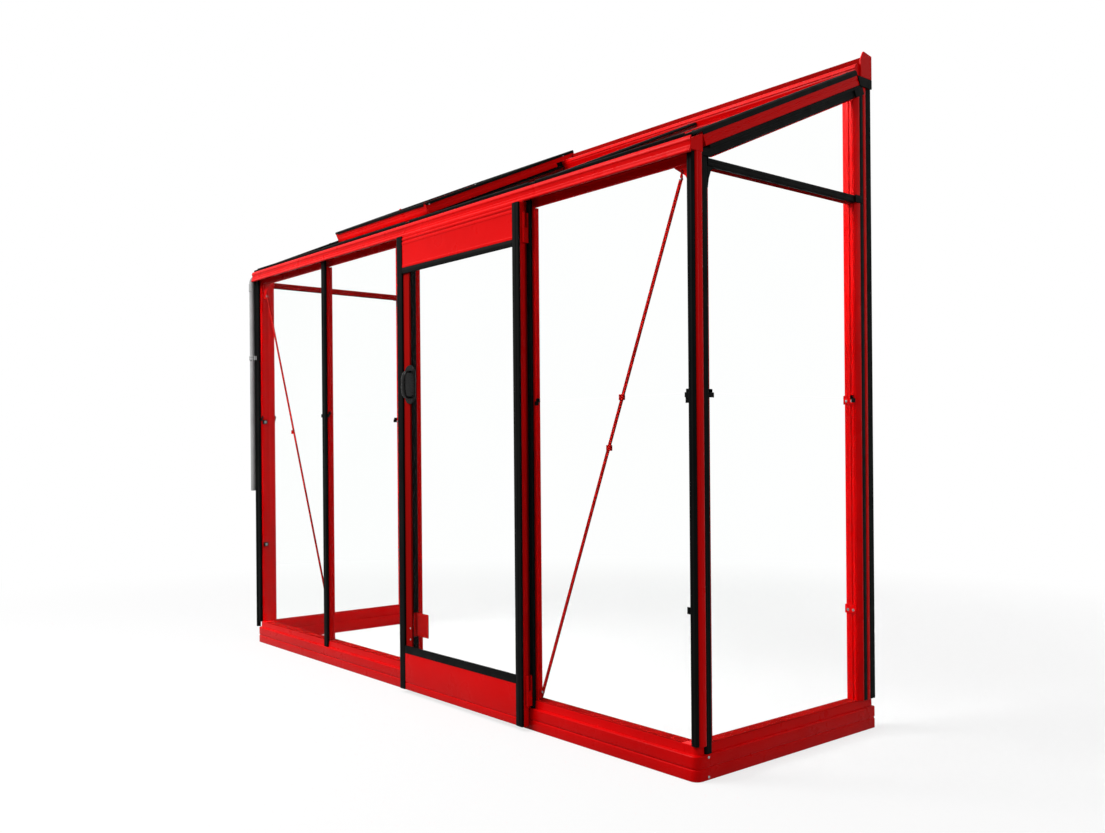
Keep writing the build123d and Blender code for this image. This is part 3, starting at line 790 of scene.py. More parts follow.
@dataclass
class WallPosts:
    """Ribbed posts against the wall, their black strips, folded seals and bolted brackets; the
    strip in each post's channel is painted shade.
    """

    outline: Outline = (
        (0, 12), (10.4, 0), (12.2, 0), (13, 1.8), (15, 1.8), (16, 0), (21, 0), (22, 3), (27, 3),
        (28, 0), (48, 0), (48, 49), (0, 49), (0, 37), (4, 36), (4, 18), (0, 17),
    )
    radii: Radii = (1.6, 1.2, 0.4, *[0.6] * 7, 1.6, 1, 1, 0.8, 0.8, 0.8, 0.8)
    back: float = 760.0
    head_at: float = 712.0
    roof_gap: float = 38.0
    folds: int = 4
    seal_inner: float = 26.0
    pad: Outline = ((727, 1896.2), (715.2, 1923.4), (PLAN.wall, 1923.4), (PLAN.wall, 1896.2))
    bracket_levels: Point = (973.0, 357.0)
    bracket_half: float = 13.0
    bracket_thick: float = 3.0

    def level_head(self) -> float:
        """Height at which the posts end, where the rafter leaves room."""
        return PLAN.roof_z(self.head_at) - self.roof_gap * math.cos(PLAN.pitch)

    def head(self, _: float, y: float) -> float:
        """Height of a post's head at depth y."""
        return min(PLAN.roof_z(y, -self.roof_gap), self.level_head())

    def build(self) -> None:
        """Makes the posts, strips, seals and brackets."""
        front = PLAN.wall_post_front
        section = rounded([(x, front + v) for x, v in self.outline], self.radii, 3)
        posts = Shape().bar(Run.UPRIGHT, section, PLAN.base_top, self.head)
        posts.mirror().piece("wall_post_bars", RED, ["wall_posts"])
        strips = Shape()
        # The black strip in the channel of each post's outer face is painted shade, where the red
        # channel lies in shade.
        section = slab(0.6, 3.6, front + 18.6, front + 35.4, 1)
        strips.bar(Run.UPRIGHT, section, PLAN.base_top, lambda x, y: self.head(x, y) - 0.4)
        strips.bar(Run.DEPTH, slab(-2.2, 1.8, 1551, 1573, 0.8), front - 8, front + 30)
        strips.bar(Run.SLOPE, slab(-2.2, 1.8, -66, -38.5, 0.8), 748, 792)
        strips.mirror().piece("wall_post_strips_and_channel_shade", BLACK)
        self.seals()
        self.brackets(front, front - self.bracket_thick)

    def seals(self) -> None:
        """Folded rubber between the posts and the wall."""
        outline: list[Point] = []
        pitch = (PLAN.wall - self.back) / self.folds
        for k in range(self.folds):
            y = self.back + k * pitch
            outline += [(0, y), (0, y + pitch * 0.62), (2.2, y + pitch * 0.8)]
        inner = self.seal_inner
        outline += [(0, PLAN.wall), (inner, PLAN.wall), (inner, self.back)]
        seals = Shape().bar(
            Run.UPRIGHT, rounded(outline, 0.7, 2), PLAN.base_top, self.level_head()
        )
        seals.bar(Run.LENGTH, rounded(self.pad, 1, 2), -5, 1, 0.6)
        seals.mirror().piece("wall_seal_folds", BLACK, ["wall_seals"])

    def brackets(self, front: float, face: float) -> None:
        """Angle brackets bolted to the front faces of the posts.

        Args:
            front: front face of the posts.
            face: front face of the brackets.
        """
        plates, nuts = Shape(), Shape()
        for z in self.bracket_levels:
            low, high = z - self.bracket_half, z + self.bracket_half
            plates.bar(Run.DEPTH, slab(14, 50, low, high, 3, 3), face, front)
            plates.bar(Run.UPRIGHT, slab(48, 50.5, face, front + 22, 0.8), low, high)
            for x in (22, 40):
                nuts.nut(PLAN.spot(x, face, z - 3), TO_FRONT, 3.2)
        plates.mirror().piece("wall_post_brackets", RED)
        nuts.mirror().piece("wall_post_nuts", ZINC)


@dataclass
class Eave:
    """Gutter with a moulded face and a bead, header flange, end plates and gussets."""

    left: float = -5.0
    end_thick: float = 6.0
    trough: float = 1588.0
    trough_back: float = 30.0
    back: float = 36.0
    glass_gap: float = 4.0
    face: Outline = (
        (-7, 1580), (-7, 1573), (-12.6, 1573), (-14.4, 1575), (-14.4, 1578.6), (-12, 1582.4),
        (-12, 1588.5), (-8.6, 1590.5), (-10.2, 1600.5), (-12, 1602.5), (-12, 1606), (-8.6, 1615),
        (-6, 1615),
    )
    face_radii: Radii = (0.5, 0.8, 1.2, 1.4, 1.6, 1, 1, 0.8, 0.8, 1, 5, 3, 1)
    header: Outline = (
        (27, 1557), (31, 1557), (31, 1580.5), (27, 1580.5), (27, 1562), (25, 1560.5),
    )
    header_end: float = 30.0
    gusset: Outline = ((30, 1487), (30, 1576), (90, 1576), (90, PLAN.header_low), (50, 1530))
    gusset_nuts: Outline = ((40, 1515), (48, 1566), (78, 1566))

    def under_glass(self, y: float) -> Point:
        """The point under the roof glass at depth y."""
        return (y, PLAN.roof_z(y, -self.glass_gap))

    def build(self) -> None:
        """Makes the gutter, its ends and the gussets."""
        start, front = self.left + self.end_thick, self.face[-1][0]
        back = [self.under_glass(self.back), (self.back, PLAN.gutter_under)]
        inside = [(front, self.trough), (self.trough_back, self.trough)]
        outline = [*self.face, *inside, self.under_glass(self.trough_back), *back]
        section = rounded(outline, [*self.face_radii, 1.5, 1.5, 0.8, 0.8, 0.8], 4)
        gutter = Shape().bar(Run.LENGTH, section, start, PLAN.length - start, BUTT)
        section = rounded(self.header, 0.8, 2)
        gutter.bar(Run.LENGTH, section, self.header_end, PLAN.length - self.header_end, MEET)
        gutter.piece("gutter_and_header", RED, ["eave_gutter"])
        outline = [*self.face, self.under_glass(front), *back]
        section = rounded(outline, [*self.face_radii, 0.5, 1.5, 1.5], 4)
        plates = Shape().bar(Run.LENGTH, section, self.left, start, 0.9)
        plates.mirror().piece("gutter_end_plates", RED, ["gutter_ends"])
        plates = Shape().bar(Run.DEPTH, rounded(self.gusset, [3, 1, 3, 6, 14], 4), 31, 34)
        plates.mirror().piece("eave_corner_gussets", RED, ["eave_gussets"])
        nuts = Shape()
        for x, z in self.gusset_nuts:
            nuts.nut(PLAN.spot(x, 34, z), TO_WALL, 4.6)
        nuts.mirror().piece("gusset_nuts", ZINC)


@dataclass
class Downpipe:
    """Grey downpipe stub with an elbow into the gutter end, a socket, a clip and a black rest."""

    x: float = -22.0
    y: float = -4.0
    radius: float = 11.0
    wall: float = 1.8
    low: float = 660.0
    high: float = 1572.0
    spout: float = 1589.0
    spout_end: float = -4.6
    slim: float = 3.0
    bend_steps: int = 8
    ring_steps: int = 24
    clip: Point = (1232.0, 1250.0)
    arm: Outline = ((-13, -4), (1.8, 3), (1.8, 12), (-9, 10), (-13, 6))
    rest: Outline = ((-10.6, 0), (-3, 0), (6, 8), (6, 13), (0, 13), (-10.6, 7))
    rest_levels: Point = (65.4, 1579.0)

    def build(self) -> None:
        """Makes the pipe and its rest."""
        pipe = Shape()
        r, hole, low, high = self.radius, self.radius - self.wall, self.low, self.high
        foot = PLAN.spot(self.x, self.y, 0)
        tube = [
            (hole, low + 0.8), (hole + 0.6, low), (r - 0.6, low), (r, low + 0.8), (r, high - 40),
            (r + 1.8, high - 38), (r + 1.8, high - 6), (r + 1, high - 5), (r, high - 5), (r, high),
            (hole, high),
        ]
        pipe.turned(tube, foot, UP, 32, closed=True)
        pipe.loft(self.elbow())
        low, high = self.clip
        clip = [
            (r - 0.5, low), (r + 2.2, low), (r + 3, low + 1), (r + 3, low + 6), (r + 2.2, low + 7),
            (r + 2.2, high - 7), (r + 3, high - 6), (r + 3, high - 1), (r + 2.2, high),
            (r - 0.5, high),
        ]
        pipe.turned(clip, foot, UP, 32, closed=True)
        pipe.bar(Run.UPRIGHT, rounded(self.arm, 1, 2), low, high)
        pipe.piece("downpipe_stub", GREY, ["downpipe"])
        rest = Shape().bar(Run.UPRIGHT, rounded(self.rest, 1, 2), *self.rest_levels, MEET)
        rest.piece("downpipe_rest", BLACK)

    def elbow(self) -> list[list[Vector]]:
        """Leads the pipe's head round into the gutter end.

        Returns:
            The rings of the bend.
        """
        bend, steps, square = self.spout - self.high, self.bend_steps, math.pi / 2
        rings = []
        for k in range(steps + 1):
            angle = square * k / steps
            x = self.x + bend * (1 - math.cos(angle))
            z = self.high + bend * math.sin(angle)
            rings.append(self.elbow_ring(x, z, angle, self.radius - self.slim * k / steps))
        rings.append(self.elbow_ring(self.spout_end, self.spout, square, self.radius - self.slim))
        return rings

    def elbow_ring(self, x: float, z: float, angle: float, radius: float) -> list[Vector]:
        """One ring of the elbow, square to its bend.

        Args:
            x: place of the ring's middle along the front.
            z: height of the ring's middle.
            angle: how far the bend has turned.
            radius: radius of the ring.

        Returns:
            The points of the ring.
        """
        ring = []
        for k in range(self.ring_steps):
            turn = 2 * math.pi * k / self.ring_steps
            out, y = radius * math.cos(turn), self.y + radius * math.sin(turn)
            ring.append(PLAN.spot(x - out * math.cos(angle), y, z + out * math.sin(angle)))
        return ring


@dataclass
class RoofBars:
    """End rafters, glazing bars of the roof, cap strips, glass stops and the ridge."""

    cap_thick: float = 9.0
    cap_half: float = 15.0
    ridge_left: float = -5.0
    end_thick: float = 6.0
    skirt: float = 8.0
    screw_places: Row = (24.0, 400.0, 752.0)
    rafter: Outline = (
        (-2, 0), (14, 0), (14, -4), (26, -4), (26, -36), (-2, -36), (-2, -23), (-0.5, -22),
        (-0.5, -18), (-2, -17),
    )
    rafter_radii: Radii = (1, 0.6, 0.6, 1, 1.4, 1.4, 0.6, 0.6, 0.6, 0.6)
    rafter_web: Span = (15.2, 26.0, -69.0, -35.5)
    web_reach: Point = (75.0, 742.0)
    bar_half: Outline = (
        (6, 0), (6, -4), (17, -4), (17, -7), (5, -7), (5, -34), (8, -34), (8, -38),
    )
    stop: Outline = ((5, -4), (5, 11), (8, 12.5), (14, 4), (14, 0.2), (6.4, 0.2), (6.4, -4))
    ridge_face: Outline = (
        (727, 1896), (708.5, 1939), (708.9, 1942.5), (706.3, 1944), (706.3, 1947.5),
        (709.8, 1949.5), (710.4, 1953), (713, 1957.2), (744, 1970.9), (746, 1969.8), (750, 1971.6),
        (749.6, 1973.4), (PLAN.wall, 1989.5), (PLAN.wall, 1896),
    )
    ridge_radii: Radii = (1, 1.2, 0.6, 1.4, 1.4, 0.6, 0.6, 1.6, 0.6, 0.6, 0.6, 0.6, 1.6, 1)
    crest: Outline = ((747, 1969.6), (748, 1986), (749.6, 1987.4), (756.4, 1990), (757.4, 1976))
    crest_gap: Point = (609.6, 1264.4)
    end_plate: Outline = (
        (730, 1923.7), (730, 1974.4), (745, 2001), (PLAN.wall, 1994), (PLAN.wall, 1923.7),
    )

    def cap_lines(self) -> Row:
        """Middles of the five cap strips from left to right."""
        return (PLAN.roof_end_cap, *PLAN.roof_bars, PLAN.length - PLAN.roof_end_cap)

    def build(self) -> None:
        """Makes the rafters, bars, caps, stops, ridge and screws."""
        start, end = PLAN.bar_start, PLAN.bar_end
        section = rounded(self.rafter, self.rafter_radii, 3)
        rafters = Shape().bar(Run.SLOPE, section, start, end, MEET)
        rafters.bar(Run.SLOPE, slab(*self.rafter_web, 1.2, 3), *self.web_reach, MEET)
        rafters.mirror().piece("end_rafter_bars", RED, ["end_rafters"])
        bars = Shape()
        section = rounded(both_halves(self.bar_half), 0.7, 2)
        for at in PLAN.roof_bars:
            bars.bar(Run.SLOPE, placed(section, at), start, end, MEET)
        bars.piece("roof_glazing_bars", RED, ["roof_bars"])
        caps, heads = Shape(), Shape()
        section = crowned(self.cap_half, self.cap_thick)
        for at in self.cap_lines():
            caps.bar(Run.SLOPE, placed(section, at), 0, end, 1.2)
            for s in self.screw_places:
                place = PLAN.on_roof(at, s, self.cap_thick - 1.4)
                heads.screw(place, PLAN.roof_square(), 4.4)
        lip = slab(-3.9, -2.1, -self.skirt, 2, 0.5)
        for at, hand in ((0, 1), (PLAN.length, -1)):
            caps.bar(Run.SLOPE, placed(lip, at, hand), start, end, MEET)
        caps.piece("roof_bar_caps", BLACK, ["roof_cap_strips"])
        self.glass_stops()
        self.ridge()
        heads.piece("roof_screws", BLACK)

    def glass_stops(self) -> None:
        """Stops along the lower edges of the roof panes, between the caps."""
        stops, lines = Shape(), self.cap_lines()
        gap = self.cap_half + 0.6
        for low, high in zip(lines, lines[1:]):
            stops.bar(Run.EAVE, rounded(self.stop, 0.5, 2), low + gap, high - gap, MEET)
        stops.piece("roof_glass_stops", BLACK)

    def ridge(self) -> None:
        """The ridge bar with a bead along its face, its upstand and its taller end plates."""
        start = self.ridge_left + self.end_thick
        end = PLAN.length - start
        ridge = Shape().bar(
            Run.LENGTH, rounded(self.ridge_face, self.ridge_radii, 4), start, end, BUTT
        )
        ridge.piece("ridge_rail", RED, ["ridge_bar"])
        crest, (left, right) = Shape(), self.crest_gap
        for low, high in ((start + 0.4, left), (right, end - 0.4)):
            crest.bar(Run.LENGTH, rounded(self.crest, 0.8, 2), low, high, 0.4)
        # The upstand is drawn in the darker red, as painted shade on its face.
        crest.piece("ridge_crest", SHADED_RED)
        section = rounded(self.end_plate, [1, 5, 4, 1, 1], 4)
        plates = Shape().bar(Run.LENGTH, section, self.ridge_left, start, 1)
        plates.mirror().piece("ridge_end_plates", RED, ["ridge_ends"])


@dataclass
class RoofVent:
    """The raised lid in the second bay: sill, curb, frame with a drip skirt, and edge strip."""

    left: float = 612.01
    right: float = 1262.01
    start: float = 93.0
    end: float = 846.78
    low: float = 28.0
    high: float = 45.0
    gap: float = 0.4
    curb_in: float = 8.0
    curb_wide: float = 12.0
    rail_wide: float = 28.0
    rail: Outline = (
        (0, 28), (0, 34), (1.4, 35), (1.4, 37.5), (0, 38.5), (0, 45), (28, 45), (28, 28),
    )
    rail_radii: Radii = (1.4, 0.5, 0.5, 0.5, 0.5, 1, 1.4, 1.4)
    strip_wide: float = 14.0
    strip: Outline = ((0, 40), (-1.6, 40), (-1.6, 49), (2, 51), (14, 49), (14, 45), (0, 45))
    strip_radii: Radii = (0.3, 0.7, 1.6, 1.6, 1.2, 0.4, 0.3)
    skirt_low: float = 11.0
    skirt_over_ridge: float = 24.6
    skirt_thick: float = 3.0

    def ring(self, span: Span, outline: Sequence[Point], wide: float) -> Shape:
        """Two side bars and two cross bars laid on the slope.

        Args:
            span: left, right, lower and upper edges of the ring.
            outline: section of a bar from an edge inward.
            wide: width of the bars.

        Returns:
            The four bars.
        """
        left, right, start, end = span
        shape, inside = Shape(), wide + self.gap
        for edge, hand in ((left, 1), (right, -1)):
            shape.bar(Run.SLOPE, placed(outline, edge, hand), start, end, 0.6)
        for edge, hand in ((start, 1), (end, -1)):
            section = placed(outline, edge, hand)
            shape.bar(Run.EAVE, section, left + inside, right - inside, BUTT)
        return shape

    def build(self) -> None:
        """Makes the sill, curb, frame, edge strip and screws."""
        left, right, start, inward = self.left, self.right, self.start, self.curb_in
        near, far = PLAN.mullion, PLAN.roof_bars[1]
        sill = Shape().bar(Run.EAVE, slab(6.56, 123, -4, 0, 0.8), near + 6, far - 6, MEET)
        upstand = slab(start + inward, start + 20, -0.5, 9, 1.2)
        sill.bar(Run.EAVE, upstand, near + 15.4, far - 15.4, MEET)
        sill.piece("vent_sill_plate", RED, ["vent_sill"])
        span = (left + inward, right - inward, start + inward, PLAN.bar_end)
        curb = self.ring(span, slab(0, self.curb_wide, 9, self.low, 1.2), self.curb_wide)
        curb.piece("vent_curb_bars", BLACK, ["vent_curb"])
        lid = (left, right, start, self.end)
        rails = self.ring(lid, rounded(self.rail, self.rail_radii, 3), self.rail_wide)
        self.skirt(rails)
        rails.piece("vent_frame_rails", RED, ["vent_frame"])
        edge = self.ring(lid, rounded(self.strip, self.strip_radii, 3), self.strip_wide)
        edge.piece("vent_edge_seal", BLACK, ["vent_edge_strip"])
        self.screws()

    def skirt(self, rails: Shape) -> None:
        """A drip skirt that hangs from the lid's front and side rails.

        Args:
            rails: the piece that takes the skirt.
        """
        drop, top, thick = self.skirt_low, self.low + 0.5, self.skirt_thick
        ridge = PLAN.bar_end - 36
        for edge, hand in ((self.left, 1), (self.right, -1)):
            for low, start, end in (
                (drop, self.start, ridge), (self.skirt_over_ridge, ridge, self.end - 4),
            ):
                rails.bar(Run.SLOPE, slab(edge, edge + hand * thick, low, top, 0.7), start, end)
        section = slab(self.start, self.start + thick, drop, top, 0.7)
        rails.bar(Run.EAVE, section, self.left + 5, self.right - 5)

    def screws(self) -> None:
        """Screws in the corners of the lid and on its sides."""
        heads, square = Shape(), PLAN.roof_square()
        for x in (self.left + 21, self.right - 21):
            for s in (self.start + 21, self.end - 21):
                heads.screw(PLAN.on_roof(x, s, self.high), square, 3.6)
        for s in (self.start + 14, self.end - 60):
            for x, out in ((self.left, TO_LEFT), (self.right, TO_RIGHT)):
                heads.screw(PLAN.on_roof(x, s, self.high - 3.5), out, 3)
        heads.piece("vent_screws", ZINC)


@dataclass
class EndWalls:
    """Level ties and the cap strips of the two ends."""

    cap_face: float = 2.0
    glass_face: float = 11.0
    tie_middle: float = 1562.0
    tie_high: float = 1573.0
    tie: Outline = (
        (11, 1558), (15, 1558), (15, 1551), (35, 1551), (35, 1559), (33.4, 1560), (33.4, 1564),
        (35, 1565), (35, 1573), (15, 1573), (15, 1566), (11, 1566),
    )
    web: Outline = (
        (62, 1551.5), (62, 1496), (64, 1496), (68, 1520), (76, 1540), (88, 1551.5),
    )
    gable_drop: float = 51.0

    def strip(self, middle: float, half: float) -> list[Point]:
        """Section of a cap strip on the outer face of the glass, about its middle."""
        crown = crowned(half, self.glass_face - self.cap_face)
        return [(self.glass_face - v, middle + u) for u, v in crown]

    def build(self) -> None:
        """Makes the ties and strips."""
        ties = Shape().bar(
            Run.DEPTH, rounded(self.tie, 0.8, 3), PLAN.post_back, PLAN.wall_post_front
        )
        # The ties are drawn in the darker red, as painted shade.
        ties.mirror().piece("end_tie_bars", SHADED_RED, ["end_ties"])
        corner = self.strip(PLAN.post_shoulder + 12, 12)
        caps = Shape().bar(Run.UPRIGHT, corner, lambda x, y: PLAN.ledge(x), self.tie_high, 1)
        caps.bar(Run.DEPTH, self.strip(self.tie_middle, 11), 62.4, PLAN.wall_post_front, 1)
        rings = []
        for y in (PLAN.post_shoulder, 69, PLAN.wall_post_front):
            rings.append([
                PLAN.spot(x, y, max(PLAN.roof_z(y, u), self.tie_high + 0.4))
                for x, u in self.strip(-self.gable_drop, 15)
            ])
        caps.loft(rings)
        caps.bar(Run.SLOPE, slab(-3.6, -1.9, -44, -36.4, 0.6), 52, PLAN.bar_end - 2)
        caps.bar(Run.LENGTH, rounded(self.web, [0.5, 0.5, 1, 12, 12, 1], 4), 4, 10)
        caps.mirror().piece("end_wall_caps", BLACK, ["end_cap_strips"])


@dataclass
class FrontCaps:
    """Black cap strips of the front wall."""

    face: float = 3.0
    glass: float = 12.0
    corner: Point = (13.0, 11.0)
    halves: Row = (16.0, 10.0, 10.0)

    def build(self) -> None:
        """Makes the strips, those of the corners down to the base's top."""
        caps = Shape()
        middle, half = self.corner
        strips = [(middle, half, PLAN.base_top), (PLAN.length - middle, half, PLAN.base_top)]
        for at, wide in zip((PLAN.mullion, PLAN.jamb_left, PLAN.jamb_right), self.halves):
            strips.append((at, wide, lambda x, y: PLAN.ledge(y)))
        for at, wide, foot in strips:
            crown = crowned(wide, self.glass - self.face)
            outline = [(at + u, self.glass - v) for u, v in crown]
            caps.bar(Run.UPRIGHT, outline, foot, PLAN.gutter_under, 1)
        caps.piece("front_wall_caps", BLACK, ["front_cap_strips"])


@dataclass
class Braces:
    """Flat diagonal braces behind the front glass, with clips and end bolts."""

    front: float = 27.0
    back: float = 31.0
    wide: float = 11.0
    bolt_in: float = 14.0
    left: Span = (58.0, 1519.0, 614.0, 172.0)
    right: Span = (1928.0, 100.0, 2512.0, 1537.0)
    clips: Outline = ((2282.0, 976.0), (2230.0, 838.0), (300.0, 912.0))

    def build(self) -> None:
        """Makes the braces and their hardware."""
        bars, nuts, clips = Shape(), Shape(), Shape()
        for x0, z0, x1, z1 in (self.left, self.right):
            half = self.wide * math.hypot(1.0, (z1 - z0) / (x1 - x0)) / 2
            outline = [(x0, z0 - half), (x0, z0 + half), (x1, z1 + half), (x1, z1 - half)]
            bars.bar(Run.DEPTH, rounded(outline, 1.2, 2), self.front, self.back, 0.8)
            along = Vector((x1 - x0, z1 - z0)).normalized() * self.bolt_in
            for place in (Vector((x0, z0)) + along, Vector((x1, z1)) - along):
                nuts.nut(PLAN.spot(place.x, self.back, place.y), TO_WALL, 3.6)
                nuts.screw(PLAN.spot(place.x, self.front, place.y), TO_FRONT, 4)
        for x, z in self.clips:
            self.clip(clips, x, z)
        # The braces and their clips are drawn in the darker red, as painted shade behind the glass.
        bars.piece("diagonal_braces", SHADED_RED, ["front_braces"])
        nuts.piece("brace_bolts", ZINC)
        clips.piece("brace_clips", SHADED_RED)

    def clip(self, shape: Shape, x: float, z: float) -> None:
        """A folded clip that grips a brace.

        Args:
            shape: the piece that takes the clip.
            x: place of the clip along the front.
            z: height of the clip.
        """
        front, back = self.front, self.back
        leaf = slab(x - 9, x + 9, z - 8, z + 8, 2, 3)
        for start, end in ((front - 1.8, front), (back, back + 1.8)):
            shape.bar(Run.DEPTH, leaf, start, end)
        for edge in (x - 8, x + 8):
            section = slab(edge - 1, edge + 1, z - 8, z + 8, 0.5)
            shape.bar(Run.DEPTH, section, front - 1, back + 1)


@dataclass
class PaneDressing:
    """Glass of every pane, and the clips between lower and upper panes."""

    panes: tuple[str, ...] = (
        "front_pane_1", "front_pane_2", "front_pane_4", "left_end_panes", "right_end_panes",
        "roof_panes", "vent_glass", "door_glass",
    )
    front_glass: float = 12.0
    end_glass: float = 11.0
    front_clips: Row = (
        32.0, 594.0, 644.0, PLAN.jamb_left - 25.0, PLAN.jamb_right + 25.0, 2538.0,
    )
    end_clips: Point = (78.0, PLAN.wall_post_front - 10.0)
    clip_half: float = 9.0
    folds: tuple[Span, ...] = ((-1.4, 0, -11, 2), (-1, 5.2, -1.4, 1.4), (4, 5.4, -2, 11))

    def build(self) -> None:
        """Dresses the panes and adds their clips."""
        for node in self.panes:
            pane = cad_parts[node]
            pane.data.materials.clear()
            pane.data.materials.append(GLASS.material())
            LOG.info("%s: dressed in %s", node, GLASS.name)
        clips = Shape()
        for x in self.front_clips:
            self.clip(clips, Run.DEPTH, x, self.front_glass, 1, (1, 0.4, 1))
        for y in self.end_clips:
            for face, hand in ((self.end_glass, 1), (PLAN.length - self.end_glass, -1)):
                self.clip(clips, Run.LENGTH, y, face, hand, (0.6, 0.6, 0.6))
        clips.piece("pane_lap_clips", BLACK)

    def clip(
        self, shape: Shape, run: Run, at: float, face: float, hand: int, radii: Radii
    ) -> None:
        """An S clip that carries an upper pane on the lower one.

        Args:
            shape: the piece that takes the clip.
            run: the way in which the clip's folds are carried, through the glass.
            at: place of the clip along its pane.
            face: outer face of the glass.
            hand: 1 where the way inward counts up, otherwise -1.
            radii: corner radius of each fold.
        """
        half, level = self.clip_half, PLAN.joint_level
        for (near, far, low, high), radius in zip(self.folds, radii):
            start, end = sorted((face + hand * near, face + hand * far))
            section = slab(at - half, at + half, level + low, level + high, radius)
            shape.bar(run, section, start, end, MEET)


@dataclass
class DoorLeaf:
    """The hinged door: stiles, edge strips, panels, cross strips, latch plate and screws."""

    left: float = 1226.01
    right: float = 1908.0
    low: float = 12.0
    high: float = 1570.0
    strip_back: float = -24.0
    inner: float = -6.0
    rail_back: float = -8.0
    strip_wide: float = 32.0
    latch_stile: float = 68.0
    hinge_stile: float = 36.0
    strip: Outline = (
        (0, -24), (0, -31), (10, -32), (11, -31), (13, -31), (14, -32), (32, -30.6), (32, -24),
    )
    strip_radii: Radii = (1.2, 2.4, 0.5, 0.5, 0.5, 0.5, 2.4, 1.2)
    gasket: Outline = ((-0.4, -17.6), (3, -17.6), (2.4, -12), (1.6, -7), (-0.4, -7))
    gasket_levels: Point = (139.0, 1517.0)
    head_panel: Outline = (
        (-24, 1461), (-29, 1461), (-29, 1469), (-28, 1470.5), (-28, 1540), (-29, 1542),
        (-29, 1548), (-26.5, 1550), (-26.5, 1553.5), (-29, 1555.5), (-29, 1561), (-26.5, 1562.5),
        (-26.5, 1565), (-28, 1570), (-24, 1570),
    )
    head_radii: Radii = (
        0.5, 1.4, 0.7, 0.7, 0.7, 1.2, 1.4, 0.6, 0.6, 1.4, 1.4, 0.6, 0.6, 1, 0.5,
    )
    head_rail_low: float = 1518.0
    foot_panel: Outline = (
        (-24, 12), (-29, 12), (-29, 34), (-27.4, 35), (-27.4, 38), (-29, 39), (-29, 137),
        (-24, 137),
    )
    foot_radii: Radii = (0.5, 2, 0.6, 0.6, 0.6, 0.6, 1, 0.5)
    foot_rail_high: float = 62.0
    # The upper strip reaches down to 1441: its lowest 6 mm are painted shade under the strip, the
    # rest is a real black strip.
    cross_levels: Outline = ((1441.0, 1461.0), (137.0, 163.0))
    latch_levels: Point = (198.0, 278.0)
    latch_wide: float = 126.0
    stile_screws: Point = (187.0, 225.0)
    plate_screws: Point = (212.0, 264.0)
    corner_screws: Point = (80.0, 1500.0)

    def build(self) -> None:
        """Makes the leaf."""
        latch, hinge, strips, gaskets = Shape(), Shape(), Shape(), Shape()
        strip = rounded(self.strip, self.strip_radii, 3)
        gasket = rounded(self.gasket, 0.5, 2)
        for stile, edge, hand, wide in (
            (latch, self.left, 1, self.latch_stile), (hinge, self.right, -1, self.hinge_stile),
        ):
            outline = rounded(self.stile_outline(wide), 0.9, 3)
            stile.bar(Run.UPRIGHT, placed(outline, edge, hand), self.low, self.high)
            strips.bar(Run.UPRIGHT, placed(strip, edge, hand), self.low, self.high, 1)
            # Black gaskets on the stiles' inner sides: partly glazing gaskets, partly painted shade
            # that darkens those side faces.
            rebate = placed(gasket, edge + hand * wide, hand)
            gaskets.bar(Run.UPRIGHT, rebate, *self.gasket_levels)
        # The latch stile is drawn in the darker red as painted shade; the hinge stile keeps the lit
        # red.
        latch.piece("door_latch_stile", SHADED_RED, ["door_stiles"], Body.DOOR)
        hinge.piece("door_hinge_stile", RED, body=Body.DOOR)
        strips.piece("door_edge_seals", BLACK, ["door_edge_strips"], Body.DOOR)
        gaskets.piece("door_gaskets_and_painted_shade", BLACK, body=Body.DOOR)
        self.panels()
        self.latch()

    def stile_outline(self, wide: float) -> list[Point]:
        """Section of a stile from the leaf's edge inward, with a rebate and a back groove.

        Args:
            wide: width of the stile.

        Returns:
            The corners of the section.
        """
        front, back, rebate = self.strip_back, self.inner, wide - 1.5
        groove = back - 1.6
        return [
            (0, front), (wide, front), (wide, -21), (rebate, -20.4), (rebate, -17), (wide, -16.4),
            (wide, back), (26, back), (25, groove), (17, groove), (16, back), (0, back),
        ]

    def panels(self) -> None:
        """Top and kick panels, their rails, and the black cross strips."""
        between = self.left + self.strip_wide, self.right - self.strip_wide
        inside = self.left + self.latch_stile, self.right - self.hinge_stile
        for outline, radii, low, high, name, node in (
            (self.head_panel, self.head_radii, self.head_rail_low, self.high,
             "door_head_panel", "door_top_panel"),
            (self.foot_panel, self.foot_radii, self.low, self.foot_rail_high,
             "door_foot_panel", "door_kick_panel"),
        ):
            panel = Shape().bar(Run.LENGTH, rounded(outline, radii, 3), *between)
            rail = slab(self.strip_back, self.rail_back, low, high, 1, 3)
            panel.bar(Run.LENGTH, rail, *inside, BUTT).piece(name, RED, [node], Body.DOOR)
        cross, back = Shape(), self.strip_back
        for z0, z1 in self.cross_levels:
            outline = [(back, z0), (-30, z0), (-31, (z0 + z1) / 2), (-30, z1), (back, z1)]
            cross.bar(Run.LENGTH, rounded(outline, [0.4, 1.6, 3, 1.6, 0.4], 3), *between, 0.4)
        cross.piece("door_cross_seals", BLACK, ["door_cross_strips"], Body.DOOR)

    def latch(self) -> None:
        """The latch plate on the inner face, and the screws of the leaf."""
        left, edge = self.left + 16, self.left + self.latch_stile
        face = self.inner + 3
        leaf = slab(left, left + self.latch_wide, *self.latch_levels, 3, 4)
        plate = Shape().bar(Run.DEPTH, leaf, self.inner, face, 0.9)
        plate.bar(Run.UPRIGHT, slab(edge - 0.5, edge + 7, -17, -5.5, 1), *self.latch_levels)
